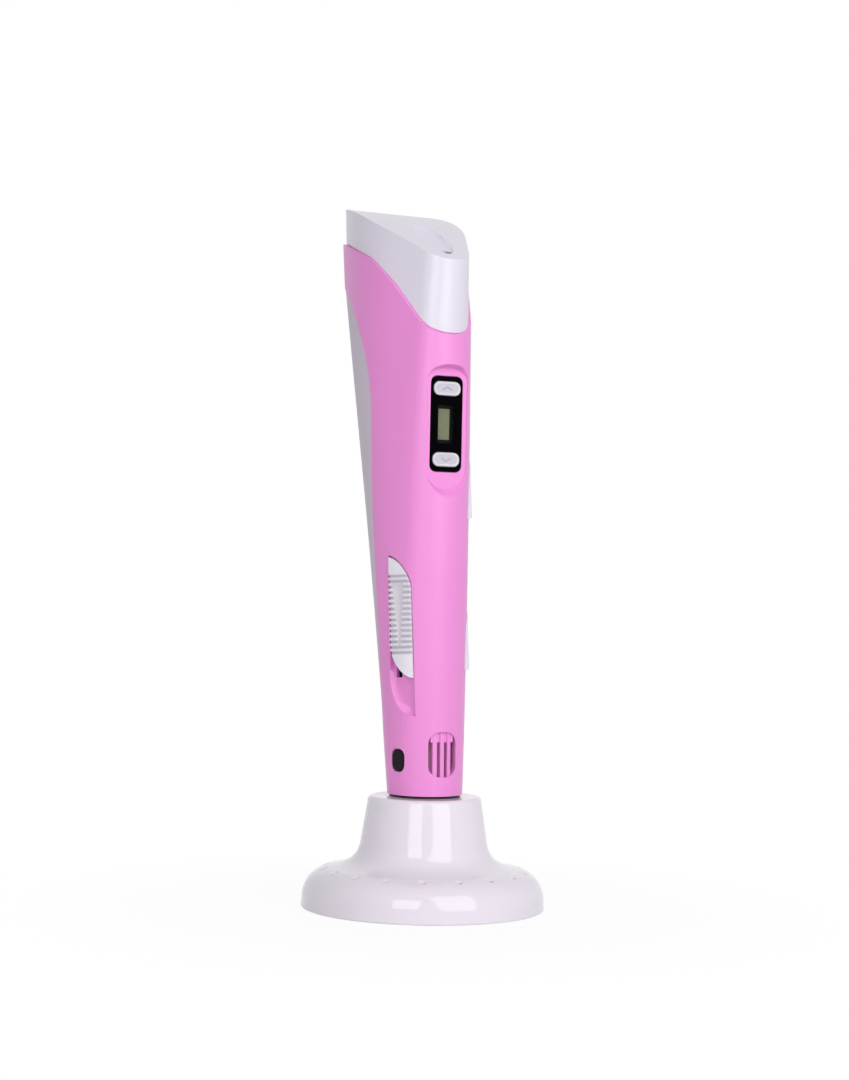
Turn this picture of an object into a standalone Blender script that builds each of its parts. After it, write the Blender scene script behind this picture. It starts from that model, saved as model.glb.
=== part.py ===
"""Hand-held pen that draws with molten filament, standing nose down in a round desk stand.

Metres, +Z up, origin on the table under the middle of the stand. The display looks along -Y,
the speed slider is on the -X side and the two feed buttons are on the +X side.
"""

import math

import bmesh
import bpy
from mathutils import Matrix, Vector

MM = 0.001

# Fits shared by every piece
SEAT = 0.25 * MM
RUN = 0.3 * MM
SEAM = 0.3 * MM
TIGHT_SEAM = 0.12 * MM

# Stand
STAND_RADIUS = 35.4 * MM
STAND_HEIGHT = 32.0 * MM
STAND_RIM = 16.6 * MM
STAND_NECK = 18.3 * MM
STAND_NECK_HEIGHT = 20.0 * MM
STAND_FLANGE = 11.7 * MM
STAND_EDGE = 1.4 * MM
STAND_WALL = 2.2 * MM
CUP_WALL = 1.6 * MM
CUP_DEPTH = 11.0 * MM
FILAMENT_HOLES = 18
FILAMENT_HOLE_RADIUS = 1.0 * MM
FILAMENT_HOLE_CIRCLE = 29.5 * MM
SHELL_LIFT = 1.1 * MM

# Housing outline: a circle at the nose that flares into a six-sided tail
NOSE_RADIUS = 10.15 * MM
TAIL_FRONT = 10.9 * MM
TAIL_FRONT_HALF = 5.4 * MM
TAIL_WIDE = 17.7 * MM
TAIL_WIDE_BACK = 15.9 * MM
TAIL_BACK = 34.2 * MM
TAIL_BACK_HALF = 13.0 * MM
TAIL_FRONT_ROUND = 8.0 * MM
TAIL_SIDE_ROUND = 32.0 * MM
TAIL_BACK_ROUND = 2.0 * MM
STATION_ANGLES = (0.0, 62.0, 97.0, 143.0, 180.0)
STATION_STEPS = (7, 6, 6, 4)
FLARE_HEIGHT = 155.0 * MM
FLARE_POWER = 1.3
FLARE_EASE = 0.9
SIDE_FULLNESS = 1.25 * MM
BACK_LEAN = 1.05 * MM
SWELL_POWER = 0.7
SKIN = 0.8 * MM
SPINE_SKIN = 0.5 * MM
INNER = 1.4 * MM
OVERSHOOT = 4.0 * MM

# Heights on the housing, from its lower edge
TOP_FRONT = 154.5 * MM
TOP_BACK = 173.3 * MM
CAP_SEAM_FRONT = 132.6 * MM
CAP_SEAM_BACK = 163.5 * MM
SPINE_TOP = 151.5 * MM
SPINE_SIDE = 9.6 * MM
SPINE_LOW_SIDE = 5.8 * MM
SPINE_BOTTOM = 8.0 * MM
CAP_ROOF = 2.2 * MM

# Filament inlet in the cap
INLET_FRONT = 3.4 * MM
INLET_RADIUS = 1.4 * MM
DISH_LENGTH = 14.5 * MM
DISH_WIDTH = 10.4 * MM
DISH_DEPTH = 1.5 * MM
DISH_FRONT = -0.8 * MM
INLET_TUBE_RADIUS = 1.9 * MM

# Display
PANEL_FRONT = 8.2 * MM
PANEL_CENTRE = 107.2 * MM
PANEL_HALF = 6.6 * MM
PANEL_ABOVE = 16.2 * MM
PANEL_BELOW = 19.0 * MM
PANEL_ARCH = 4.5 * MM
PANEL_SLOPE = 0.35
PANEL_RUN_OUT = 1.0
PAD_BACK = 5.6 * MM
BEZEL_WIDTH = 10.1 * MM
BEZEL_HEIGHT = 27.4 * MM
BEZEL_THICK = 1.4 * MM
BEZEL_PROUD = 0.2 * MM
BEZEL_CORNER = 1.8 * MM
BEZEL_LEDGE = 0.25 * MM
WINDOW_WIDTH = 6.0 * MM
WINDOW_HEIGHT = 11.2 * MM
WINDOW_SUNK = 0.1 * MM
LCD_WIDTH = 7.0 * MM
LCD_HEIGHT = 12.0 * MM
LCD_THICK = 1.3 * MM
PILL_WIDTH = 8.7 * MM
PILL_HEIGHT = 4.0 * MM
PILL_SPREAD = 10.25 * MM
PILL_PROUD = 0.4 * MM
PILL_LIP = 0.3 * MM
PILL_TRAVEL = 0.5 * MM
PILL_GAP = 0.2 * MM

# Main board and what sits on it
BOARD_FRONT = 4.0 * MM
BOARD_THICK = 1.0 * MM
BOARD_HALF = 5.2 * MM
BOARD_LOW = 30.0 * MM
BOARD_HIGH = 121.5 * MM
BOARD_POST_RADIUS = 1.7 * MM
BOARD_SCREW_RADIUS = 0.8 * MM
BOARD_SCREW_HEAD = 1.5 * MM
BOARD_SCREW_HEAD_THICK = 0.5 * MM
BOARD_SCREW_GRIP = 2.6 * MM
BOARD_POST_DROP = 3.3 * MM
BOARD_POST_LOW = 66.0 * MM
RIB_THICK = 1.0 * MM
RIB_LENGTH = 7.0 * MM
SWITCH_WIDTH = 3.4 * MM
SWITCH_HEIGHT = 3.0 * MM
SWITCH_DEPTH = 1.1 * MM
SIDE_SWITCH_REACH = 5.6 * MM
SIDE_SWITCH_DEPTH = 2.9 * MM
SIDE_SWITCH_LENGTH = 5.0 * MM
SIDE_SWITCH_INNER = 2.6 * MM
POT_LENGTH = 17.0 * MM
POT_DEPTH = 4.6 * MM

# Speed slider
LEAF_FULLNESS = 1.6
SIDE_ANGLE = 65.0
SLIDER_HEIGHT = 51.2 * MM
SLIDER_SHIFT = -1.8 * MM
SLIDER_LEAN = 2.9
SLIDER_LENGTH = 34.8 * MM
SLIDER_WIDTH = 7.4 * MM
SLIDER_SWEEP = 9.0 * MM
SLIDER_TRAVEL = 6.0 * MM
SLIDER_PROUD = 0.45 * MM
SLIDER_UNDER = 1.0 * MM
BED_DEPTH = 1.9 * MM
BED_FLOOR = 1.2 * MM
BED_MARGIN = 1.1 * MM
BED_HEAD = 0.3 * MM
BED_ROOM = 4.8 * MM
BED_SWEEP = 16.5 * MM
BED_FULLNESS = 1.35
MOUTH_DEPTH = 0.5 * MM
MOUTH_SWEEP = 18.0 * MM
MOUTH_FULLNESS = 2.45
MOUTH_BELLY = 0.75 * MM
STEM_WIDTH = 1.4 * MM
STEM_LENGTH = 4.0 * MM
STEM_DROP = 9.0 * MM
STEM_SHIFT = -2.0 * MM
STEM_END = 6.65 * MM

# Feed buttons
LOAD_HEIGHT = 45.0 * MM
UNLOAD_HEIGHT = 89.0 * MM
FEED_LENGTH = 18.0 * MM
FEED_WIDTH = 5.6 * MM
FEED_SWEEP = 6.0 * MM
FEED_PROUD_LOW = 1.0 * MM
FEED_PROUD_HIGH = 0.15 * MM
FEED_TRAVEL = 0.7 * MM
FEED_LIP = 0.5 * MM
FEED_LIP_DEPTH = 3.25 * MM
FEED_LIP_THICK = 0.5 * MM
FEED_SHIFT = 1.0 * MM
FEED_NUB = 2.4 * MM

# Status window
STATUS_ANGLE = 76.0
STATUS_HEIGHT = 10.0 * MM
STATUS_WIDTH = 4.8 * MM
STATUS_TALL = 6.0 * MM
STATUS_SUNK = 0.35 * MM
STATUS_RIM = 0.4 * MM
LED_SIZE = 2.4 * MM
LED_THICK = 1.2 * MM

# Vents
VENT_LOW = 5.5 * MM
VENT_HIGH = 18.5 * MM
VENT_HALF = 4.5 * MM
VENT_BARS = 3
VENT_BAR = 1.25 * MM
VENT_PITCH = 2.3 * MM
VENT_SINK = 0.7 * MM

# Nose and hot end
CONE_TOP = 10.0 * MM
CONE_END = 5.2 * MM
CONE_LOW = 6.8 * MM
CONE_BAND = 1.6 * MM
SPIGOT_HEIGHT = 4.5 * MM
SPIGOT_WALL = 1.4 * MM
NOZZLE_LENGTH = 10.2 * MM
NOZZLE_RADIUS = 3.9 * MM
NOZZLE_TIP = 1.5 * MM
NOZZLE_BORE = 0.4 * MM
HEATER_RADIUS = 2.9 * MM
HEATER_BORE = 1.0 * MM
HEATER_TOP = 26.0 * MM
HEATER_DEEP = 4.6 * MM
SLEEVE_RADIUS = 4.8 * MM
SLEEVE_TOP = 17.5 * MM
THERMISTOR_RADIUS = 0.9 * MM
THERMISTOR_LENGTH = 4.5 * MM
MOUNT_LOW = 20.5 * MM
MOUNT_THICK = 2.5 * MM

# Filament feed
FEED_TUBE_RADIUS = 2.0 * MM
FEED_TUBE_BORE = 1.1 * MM
BLOCK_HALF = 11.5 * MM
BLOCK_FRONT = 2.9 * MM
BLOCK_BACK = 4.4 * MM
GEAR_DROP = 20.0 * MM
GEAR_RADIUS = 2.9 * MM
GEAR_TEETH = 14
GEAR_TOOTH = 0.35 * MM
GEAR_WIDTH = 4.8 * MM
SHAFT_RADIUS = 1.5 * MM
SHAFT_INSET = 1.6 * MM
FILAMENT_RADIUS = 0.875 * MM
PIN_RADIUS = 1.2 * MM
GEARBOX_LENGTH = 9.0 * MM
GEARBOX_WIDTH = 10.0 * MM
GEARBOX_HEIGHT = 12.0 * MM
MOTOR_LENGTH = 10.5 * MM
MOTOR_RADIUS = 6.0 * MM

# Inner frame, fan and cover screws
FRAME_FRONT = 4.4 * MM
FRAME_THICK = 1.6 * MM
FRAME_LOW = 24.0 * MM
FRAME_GAP = 3.0 * MM
FAN_HEIGHT = 80.0 * MM
FAN_SIZE = 16.0 * MM
FAN_DEPTH = 5.0 * MM
FAN_HOLE = 7.2 * MM
FAN_PLATE = 1.0 * MM
FAN_BLADES = 7
FAN_HUB = 3.0 * MM
FAN_PITCH = 14.0
SCREW_LOW = 38.0 * MM
SCREW_HIGH = 108.0 * MM
SCREW_RADIUS = 1.2 * MM
SCREW_HEAD = 2.2 * MM
SCREW_HEAD_THICK = 1.2 * MM
SCREW_GRIP = 6.0 * MM
BOSS_RADIUS = 2.8 * MM
PAD_THICK = 1.2 * MM

# Power inlet
JACK_RISE = 6.0 * MM
JACK_MOUTH = 3.4 * MM
JACK_BORE = 2.8 * MM
JACK_PIN = 0.9 * MM
JACK_LENGTH = 8.0 * MM
JACK_FLANGE = 4.2 * MM
JACK_FLANGE_THICK = 1.2 * MM

SHELL_BOTTOM = STAND_HEIGHT + SHELL_LIFT
GEAR_HEIGHT = TOP_FRONT - GEAR_DROP
BLOCK_LOW = GEAR_HEIGHT - BLOCK_HALF
BLOCK_HIGH = GEAR_HEIGHT + BLOCK_HALF
FRAME_HIGH = BLOCK_LOW - FRAME_GAP
SCREW_HEIGHTS = (SCREW_LOW, SCREW_HIGH)
JACK_HEIGHT = SPINE_TOP + JACK_RISE
PEN_BASE = Vector((0, 0, SHELL_BOTTOM))
FLARE_LEVELS = [FLARE_HEIGHT * k for k in (0, 0.1, 0.24, 0.4, 0.56, 0.72, 0.86, 0.96, 1.04, 1.12)]


# Curves in a plane

def bezier(points, steps):
    """Points along one cubic curve, both ends included."""
    found = []
    for k in range(steps + 1):
        t = k / steps
        s = 1 - t
        weights = (s ** 3, 3 * s * s * t, 3 * s * t * t, t ** 3)
        found.append(sum((Vector(p) * w for p, w in zip(points, weights)), Vector((0, 0))))
    return found


def shifted(points, distance):
    """An open line moved to its right-hand side by distance."""
    found = []
    for k, point in enumerate(points):
        ahead = points[min(k + 1, len(points) - 1)] - points[max(k - 1, 0)]
        ahead.normalize()
        found.append(point + Vector((ahead.y, -ahead.x)) * distance)
    return found


def arc(centre, radius, start, end, steps):
    """Points on a circle between two angles in degrees."""
    angles = [math.radians(start + (end - start) * k / steps) for k in range(steps + 1)]
    return [Vector((centre[0] + radius * math.cos(a), centre[1] + radius * math.sin(a))) for a in angles]


def rounded_box(width, height, radius, steps=4):
    """Rectangle about the origin with round corners."""
    x = width / 2 - radius
    z = height / 2 - radius
    corners = ((x, z, 0), (-x, z, 90), (-x, -z, 180), (x, -z, 270))
    return [p for cx, cz, a in corners for p in arc((cx, cz), radius, a, a + 90, steps)]


def oblong(sides, ends):
    """Rectangle between two places across and two along."""
    return [Vector((sides[k], ends[n])) for k, n in ((0, 0), (1, 0), (1, 1), (0, 1))]


def leaf(width, tips, sweeps, grow=0.0, side=1, fullness=LEAF_FULLNESS, belly=0.0):
    """Leaf with straight sides: its upper tip is on one side and its lower tip is on the other."""
    half = width / 2 + grow
    high, low = tips[0] + grow, tips[1] - grow
    turns = [math.pi / 2 * k / 8 for k in range(9)]
    ends = []
    for bow in (2 / LEAF_FULLNESS, 2 / fullness):
        ends.append([(2 * half * math.sin(t) ** bow, 1 - abs(math.cos(t)) ** bow) for t in turns])
    upper = [(along - half, high - sweeps[0] * rise) for along, rise in ends[0]]
    lower = [(half - along, low + sweeps[1] * rise, math.sin(math.pi * rise)) for along, rise in ends[1]]
    lower = [(x - belly * swell, z) for x, z, swell in lower]
    return [Vector((side * x, z)) for x, z in upper + lower]


def spread(points, steps):
    """Points at equal distances along a line, its last one left out."""
    lengths = [0.0]
    for p, q in zip(points, points[1:]):
        lengths.append(lengths[-1] + (q - p).length)
    found = []
    k = 0
    for n in range(steps):
        target = lengths[-1] * n / steps
        while lengths[k + 1] < target:
            k += 1
        found.append(points[k].lerp(points[k + 1], (target - lengths[k]) / (lengths[k + 1] - lengths[k])))
    return found


# The housing's cross-section

def crossing(first, second):
    """Where two lines, each a point and a direction, meet."""
    (p, d), (q, e) = first, second
    gap = q - p
    along = (gap.x * e.y - gap.y * e.x) / (d.x * e.y - d.y * e.x)
    return p + d * along


def fillet(before, corner, after, radius):
    """Round of the given radius in a corner."""
    d = (before - corner).normalized()
    e = (after - corner).normalized()
    half = d.angle(e) / 2
    centre = corner + (d + e).normalized() * (radius / math.sin(half))
    start = corner + d * (radius / math.tan(half)) - centre
    end = corner + e * (radius / math.tan(half)) - centre
    turn = start.angle_signed(end)
    return [centre + Matrix.Rotation(-turn * k / 8, 2) @ start for k in range(9)]


def tail_outline(offset):
    """Half of the tail's outline from front to back, moved out by offset: (forward, sideways)."""
    corners = [
        Vector((TAIL_FRONT, 0)),
        Vector((TAIL_FRONT, TAIL_FRONT_HALF)),
        Vector((-TAIL_WIDE_BACK, TAIL_WIDE)),
        Vector((-TAIL_BACK, TAIL_BACK_HALF)),
        Vector((-TAIL_BACK, 0)),
    ]
    lines = []
    for p, q in zip(corners, corners[1:]):
        ahead = (q - p).normalized()
        lines.append((p + Vector((ahead.y, -ahead.x)) * offset, ahead))
    moved = [lines[0][0]] + [crossing(a, b) for a, b in zip(lines, lines[1:])]
    moved.append(Vector((lines[-1][0].x, 0)))
    rounds = []
    for k, radius in enumerate((TAIL_FRONT_ROUND, TAIL_SIDE_ROUND, TAIL_BACK_ROUND)):
        size = max(radius + offset, SEAT)
        rounds.append(fillet(moved[k], moved[k + 1], moved[k + 2], size))
    runs = [
        [moved[0]] + rounds[0],
        rounds[0][8:] + rounds[1][:5],
        rounds[1][4:] + rounds[2][:5],
        rounds[2][4:] + [moved[4]],
    ]
    found = [p for run, steps in zip(runs, STATION_STEPS) for p in spread(run, steps)]
    return found + [moved[4]]


def station_angles():
    """Angle on the nose circle of each point of the half outline."""
    found = []
    for k, steps in enumerate(STATION_STEPS):
        start, end = STATION_ANGLES[k : k + 2]
        found += [math.radians(start + (end - start) * n / steps) for n in range(steps)]
    return found + [math.pi]


ANGLES = station_angles()
TAILS = {}


def flare(z):
    """How far the section at height z has gone from the nose circle to the tail."""
    t = max(z / FLARE_HEIGHT, 0)
    if t <= FLARE_EASE:
        return t ** FLARE_POWER
    reached = FLARE_EASE ** FLARE_POWER
    slope = FLARE_POWER * FLARE_EASE ** (FLARE_POWER - 1)
    run = 2 * (1 - reached) / slope
    left = max(1 - (t - FLARE_EASE) / run, 0)
    return 1 - (1 - reached) * left * left


def outline_point(k, z, offset):
    """One point of the half outline at height z: (forward, sideways)."""
    if offset not in TAILS:
        TAILS[offset] = tail_outline(offset)
    blend = flare(z)
    nose = Vector((math.cos(ANGLES[k]), math.sin(ANGLES[k]))) * (NOSE_RADIUS + offset)
    point = nose.lerp(TAILS[offset][k], blend)
    swell = 4 * blend ** SWELL_POWER * (1 - blend ** SWELL_POWER)
    return point + Vector((-BACK_LEAN, SIDE_FULLNESS * math.sin(ANGLES[k]))) * swell


def closed_ring(half):
    """Whole ring of 3-D points from (forward, sideways, height) points of its +X half."""
    right = [Vector((side, -ahead, z)) for ahead, side, z in half]
    return right + [Vector((-p.x, p.y, p.z)) for p in reversed(right[1:-1])]


def section(z, offset):
    """Ring of the housing at one height."""
    return closed_ring([(*outline_point(k, z, offset), z) for k in range(len(ANGLES))])


def top_height(ahead):
    """Height of the tail's top face at a distance ahead of the nose axis."""
    rise = TOP_BACK - TOP_FRONT
    length = TAIL_FRONT + TAIL_BACK
    curve = (
        (TAIL_FRONT, TOP_FRONT),
        (TAIL_FRONT - 0.36 * length, TOP_FRONT + 0.5 * rise),
        (TAIL_FRONT - 0.62 * length, TOP_FRONT + 0.9 * rise),
        (-TAIL_BACK, TOP_BACK),
    )
    low, high = 0.0, 1.0
    points = [Vector(p) for p in curve]
    if ahead >= TAIL_FRONT:
        return TOP_FRONT
    for _ in range(30):
        t = (low + high) / 2
        s = 1 - t
        weights = (s ** 3, 3 * s * s * t, 3 * s * t * t, t ** 3)
        found = sum((p * w for p, w in zip(points, weights)), Vector((0, 0)))
        if found.x > ahead:
            low = t
        else:
            high = t
    return found.y


def top_ring(offset, drop):
    """Ring where the housing's side meets the top face, lowered by drop."""
    half = []
    for k in range(len(ANGLES)):
        z = TOP_FRONT
        for _ in range(5):
            point = outline_point(k, z, offset)
            z = top_height(point.x)
        half.append((*point, z - drop))
    return closed_ring(half)


def reach(direction, z, offset):
    """Furthest point of the section along a horizontal direction, as a distance from the nose axis."""
    return max(direction.x * p.x + direction.y * p.y for p in section(z, offset))


# Meshes

def cover(mesh, ring):
    """Closes a mirrored ring of vertices with strips from side to side."""
    half = len(ring) // 2
    stops = [0]
    for k in range(1, half):
        if abs(ring[k].co.y - ring[stops[-1]].co.y) > 1e-6 and abs(ring[half].co.y - ring[k].co.y) > 1e-6:
            stops.append(k)
    for start, end in zip(stops, stops[1:] + [half]):
        ends = list(range(start, end + 1))
        back = [-i % len(ring) for i in reversed(ends)]
        mesh.faces.new([ring[i] for i in ends + [i for i in back if i not in ends]])


def loft(rings, wrap=False, strips=False):
    """Skin over rings of equal length: a closed loop of rings, or one with both ends covered."""
    mesh = bmesh.new()
    rows = [[mesh.verts.new(p) for p in ring] for ring in rings]
    count = len(rows[0])
    pairs = list(zip(rows, rows[1:]))
    if wrap:
        pairs.append((rows[-1], rows[0]))
    for low, high in pairs:
        for k in range(count):
            n = (k + 1) % count
            mesh.faces.new((low[k], low[n], high[n], high[k]))
    if not wrap:
        for row in (rows[0], rows[-1]):
            if strips:
                cover(mesh, row)
            else:
                mesh.faces.new(row)
    bmesh.ops.recalc_face_normals(mesh, faces=mesh.faces)
    return mesh


def lathe(profile, segments=48, axis=None):
    """Turned piece from a closed (radius, height) loop; an axis matrix carries Z to where it lies."""
    mesh = bmesh.new()
    rows = []
    for radius, z in profile:
        if radius < 1e-7:
            rows.append([mesh.verts.new((0, 0, z))])
            continue
        turns = [2 * math.pi * k / segments for k in range(segments)]
        rows.append([mesh.verts.new((radius * math.cos(t), radius * math.sin(t), z)) for t in turns])
    for low, high in zip(rows, rows[1:] + rows[:1]):
        for k in range(segments):
            n = (k + 1) % segments
            loop = [low[k % len(low)], low[n % len(low)], high[n % len(high)], high[k % len(high)]]
            corners = list(dict.fromkeys(loop))
            if len(corners) > 2:
                mesh.faces.new(corners)
    if axis:
        mesh.transform(axis)
    bmesh.ops.recalc_face_normals(mesh, faces=mesh.faces)
    return mesh


def prism(outline, frame, low, high):
    """Outline in a frame's first two axes, carried along its third axis from low to high."""
    return loft([[frame @ Vector((p[0], p[1], w)) for p in outline] for w in (low, high)])


def tapered(outlines, frame):
    """Skin over (outline, height) pairs in a frame."""
    return loft([[frame @ Vector((p[0], p[1], w)) for p in outline] for outline, w in outlines])


def box(x, y, z):
    """Block between two limits on each axis."""
    corners = ((x[0], y[0]), (x[1], y[0]), (x[1], y[1]), (x[0], y[1]))
    return loft([[Vector((a, b, c)) for a, b in corners] for c in z])


def bored(radius, length, bore):
    """Loop of a plain bush from height 0."""
    return [(bore, 0), (radius, 0), (radius, length), (bore, length)]


FRONT = Matrix(((1, 0, 0, 0), (0, 0, -1, 0), (0, 1, 0, 0), (0, 0, 0, 1)))
BACK = Matrix(((-1, 0, 0, 0), (0, 0, 1, 0), (0, 1, 0, 0), (0, 0, 0, 1)))
SIDEWAYS = Matrix(((0, 0, 1, 0), (1, 0, 0, 0), (0, 1, 0, 0), (0, 0, 0, 1)))


def at(x, y, z, frame=None):
    """A frame moved to a place."""
    return Matrix.Translation((x, y, z)) @ (frame or Matrix())


def side_frame(angle, z, shift=0.0, lean=0.0):
    """Frame on the housing's side: third axis out of the skin, second axis up along it."""
    turn = math.radians(angle)
    out = Vector((math.sin(turn), -math.cos(turn), 0))
    span = 15 * MM
    distance = reach(out, z, SKIN)
    rise = (reach(out, z + span, SKIN) - reach(out, z - span, SKIN)) / (2 * span)
    up = (Vector((0, 0, 1)) + out * rise).normalized()
    face = (out - Vector((0, 0, 1)) * rise).normalized()
    up = Matrix.Rotation(math.radians(lean), 3, face) @ up
    across = up.cross(face)
    level = Vector((0, 0, 1)).cross(out)
    place = out * distance + level * shift + Vector((0, 0, z))
    return Matrix.Translation(place) @ Matrix((across, up, face)).transposed().to_4x4()


# Objects

def material(name, colour, roughness, metallic=0.0, transmission=0.0):
    """Plain Principled material."""
    made = bpy.data.materials.new(name)
    made.use_nodes = True
    shader = made.node_tree.nodes["Principled BSDF"]
    shader.inputs["Base Color"].default_value = (*colour, 1)
    shader.inputs["Roughness"].default_value = roughness
    shader.inputs["Metallic"].default_value = metallic
    shader.inputs["Transmission Weight"].default_value = transmission
    return made


def place(name, mesh, look, origin=Vector(), base=PEN_BASE):
    """Named object from a mesh in the pen's own frame, its origin at the given point."""
    bmesh.ops.translate(mesh, verts=mesh.verts, vec=-origin)
    data = bpy.data.meshes.new(name)
    mesh.to_mesh(data)
    mesh.free()
    data.materials.append(look)
    for face in data.polygons:
        face.use_smooth = True
    data.set_sharp_from_angle(angle=math.radians(35))
    made = bpy.data.objects.new(name, data)
    made.location = base + origin
    bpy.context.scene.collection.objects.link(made)
    return made


def combine(mesh, tool, operation):
    """Boolean of two meshes; both are used up."""
    pair = []
    for part in (mesh, tool):
        data = bpy.data.meshes.new("work")
        part.to_mesh(data)
        part.free()
        made = bpy.data.objects.new("work", data)
        bpy.context.scene.collection.objects.link(made)
        pair.append(made)
    change = pair[0].modifiers.new("change", "BOOLEAN")
    change.operation = operation
    change.object = pair[1]
    change.solver = "EXACT"
    bpy.context.view_layer.update()
    shaped = pair[0].evaluated_get(bpy.context.evaluated_depsgraph_get())
    result = bmesh.new()
    result.from_mesh(shaped.to_mesh())
    shaped.to_mesh_clear()
    for made in pair:
        data = made.data
        bpy.data.objects.remove(made)
        bpy.data.meshes.remove(data)
    bmesh.ops.dissolve_degenerate(result, dist=2e-6, edges=result.edges)
    return result


def cut(mesh, *tools):
    """Mesh less each tool."""
    for tool in tools:
        mesh = combine(mesh, tool, "DIFFERENCE")
    return mesh


def join(mesh, *tools):
    """Mesh and each tool as one body."""
    for tool in tools:
        mesh = combine(mesh, tool, "UNION")
    return mesh


def within(mesh, tool):
    """What two meshes share."""
    return combine(mesh, tool, "INTERSECT")


def group(*meshes):
    """Separate bodies in one mesh."""
    whole = bmesh.new()
    for part in meshes:
        data = bpy.data.meshes.new("work")
        part.to_mesh(data)
        part.free()
        whole.from_mesh(data)
        bpy.data.meshes.remove(data)
    return whole


def cavity(low, high, gap=SEAT):
    """Solid that fills the housing's hollow between two heights, short of its walls by gap."""
    levels = [low] + [z for z in FLARE_LEVELS if low < z < high] + [high]
    return loft([section(z, -INNER - gap) for z in levels])


for old in list(bpy.data.objects):
    bpy.data.objects.remove(old)

PINK = material("pink_plastic", (0.85, 0.30, 0.68), 0.35)
WHITE = material("white_plastic", (0.85, 0.85, 0.87), 0.3)
STAND_WHITE = material("stand_plastic", (0.86, 0.86, 0.86), 0.2)
BLACK = material("black_plastic", (0.012, 0.011, 0.014), 0.2)
NOSE_BLACK = material("nose_plastic", (0.02, 0.02, 0.02), 0.5)
CLEAR = material("clear_plastic", (0.9, 0.92, 0.9), 0.05, transmission=0.9)
LCD_GREY = material("lcd_glass", (0.3, 0.33, 0.22), 0.25)
LENS_BLACK = material("smoked_plastic", (0.02, 0.02, 0.025), 0.1)
LED_BODY = material("led_resin", (0.8, 0.7, 0.5), 0.3)
CERAMIC = material("ceramic", (0.88, 0.86, 0.82), 0.45)
BRASS = material("brass", (0.72, 0.5, 0.2), 0.3, metallic=1.0)
SLEEVE_LOOK = material("heater_ceramic", (0.75, 0.7, 0.62), 0.7)
BEAD = material("thermistor_glass", (0.35, 0.12, 0.05), 0.15)
MOUNT_LOOK = material("mount_resin", (0.06, 0.06, 0.065), 0.6)
TUBE = material("tube_plastic", (0.85, 0.85, 0.82), 0.4)
BOARD = material("board_laminate", (0.02, 0.16, 0.07), 0.4)
SWITCH = material("switch_plastic", (0.03, 0.03, 0.03), 0.5)
CHASSIS = material("chassis_plastic", (0.12, 0.12, 0.13), 0.55)
STEEL = material("steel", (0.6, 0.6, 0.62), 0.3, metallic=1.0)
FAN_LOOK = material("fan_plastic", (0.025, 0.025, 0.028), 0.45)
JACK_LOOK = material("jack_plastic", (0.015, 0.015, 0.016), 0.35)


# Stand: one hollow turned shell with a conical cup for the nose

cone_slope = (CONE_TOP - CONE_END) / (CONE_LOW - CONE_BAND)
cup_gap = SEAT * math.hypot(1, cone_slope)
cup_mouth = CONE_TOP + cup_gap
cup_end = CONE_END + cup_gap
cone_top_z = SHELL_BOTTOM - CONE_BAND
cone_end_z = SHELL_BOTTOM - CONE_LOW
cup_floor = STAND_HEIGHT - CUP_DEPTH
sweep = bezier(
    (
        (STAND_NECK, STAND_NECK_HEIGHT),
        (STAND_NECK + 0.04 * (STAND_RADIUS - STAND_NECK), 0.66 * STAND_FLANGE + 0.34 * STAND_NECK_HEIGHT),
        (STAND_NECK + 0.19 * (STAND_RADIUS - STAND_NECK), 0.87 * STAND_FLANGE + 0.13 * STAND_NECK_HEIGHT),
        (STAND_NECK + 0.54 * (STAND_RADIUS - STAND_NECK), STAND_FLANGE),
    ),
    6,
)
shoulder = bezier(
    (
        (STAND_NECK + 0.54 * (STAND_RADIUS - STAND_NECK), STAND_FLANGE),
        (STAND_NECK + 0.77 * (STAND_RADIUS - STAND_NECK), 0.93 * STAND_FLANGE),
        (STAND_NECK + 0.965 * (STAND_RADIUS - STAND_NECK), 0.71 * STAND_FLANGE),
        (STAND_RADIUS - 0.2 * MM, 0.31 * STAND_FLANGE),
    ),
    6,
)
rim = arc((STAND_RIM - STAND_EDGE, STAND_HEIGHT - STAND_EDGE), STAND_EDGE, 90, 0, 3)
side = sweep + shoulder[1:] + [Vector((STAND_RADIUS, 0))]
lining = shifted([Vector((STAND_RIM, STAND_HEIGHT - STAND_EDGE))] + side, STAND_WALL)
lining[0].y = STAND_HEIGHT - STAND_WALL
lining[-1].y = 0
lining = [lining[0]] + lining[1:-1:2] + [lining[-1]]
loop = [Vector((cup_mouth, STAND_HEIGHT))] + rim + side + lining[::-1]
cup_shift = CUP_WALL * math.hypot(1, cone_slope)
loop += [
    Vector((cup_mouth + cup_shift, STAND_HEIGHT - STAND_WALL)),
    Vector((cup_mouth + cup_shift, cone_top_z - 0.5 * MM)),
    Vector((cup_end + CUP_WALL, cone_end_z - 0.5 * MM)),
    Vector((cup_end + CUP_WALL, cup_floor)),
    Vector((cup_end, cup_floor)),
    Vector((cup_end, cone_end_z)),
    Vector((cup_mouth, cone_top_z)),
]
stand = lathe(loop, 36)
drill = bmesh.new()
for k in range(FILAMENT_HOLES):
    turn = 2 * math.pi * (k + 0.05) / FILAMENT_HOLES
    middle = Vector((math.cos(turn), math.sin(turn))) * FILAMENT_HOLE_CIRCLE
    ring = [(FILAMENT_HOLE_RADIUS, STAND_FLANGE * 0.4), (FILAMENT_HOLE_RADIUS, STAND_FLANGE * 1.4)]
    pin = lathe([(0, ring[0][1])] + ring + [(0, ring[1][1])], 8, at(middle.x, middle.y, 0))
    drill = group(drill, pin)
place("stand_base", cut(stand, drill), STAND_WHITE, base=Vector())


# Seams seen from the side, as (y, z) lines

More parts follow.
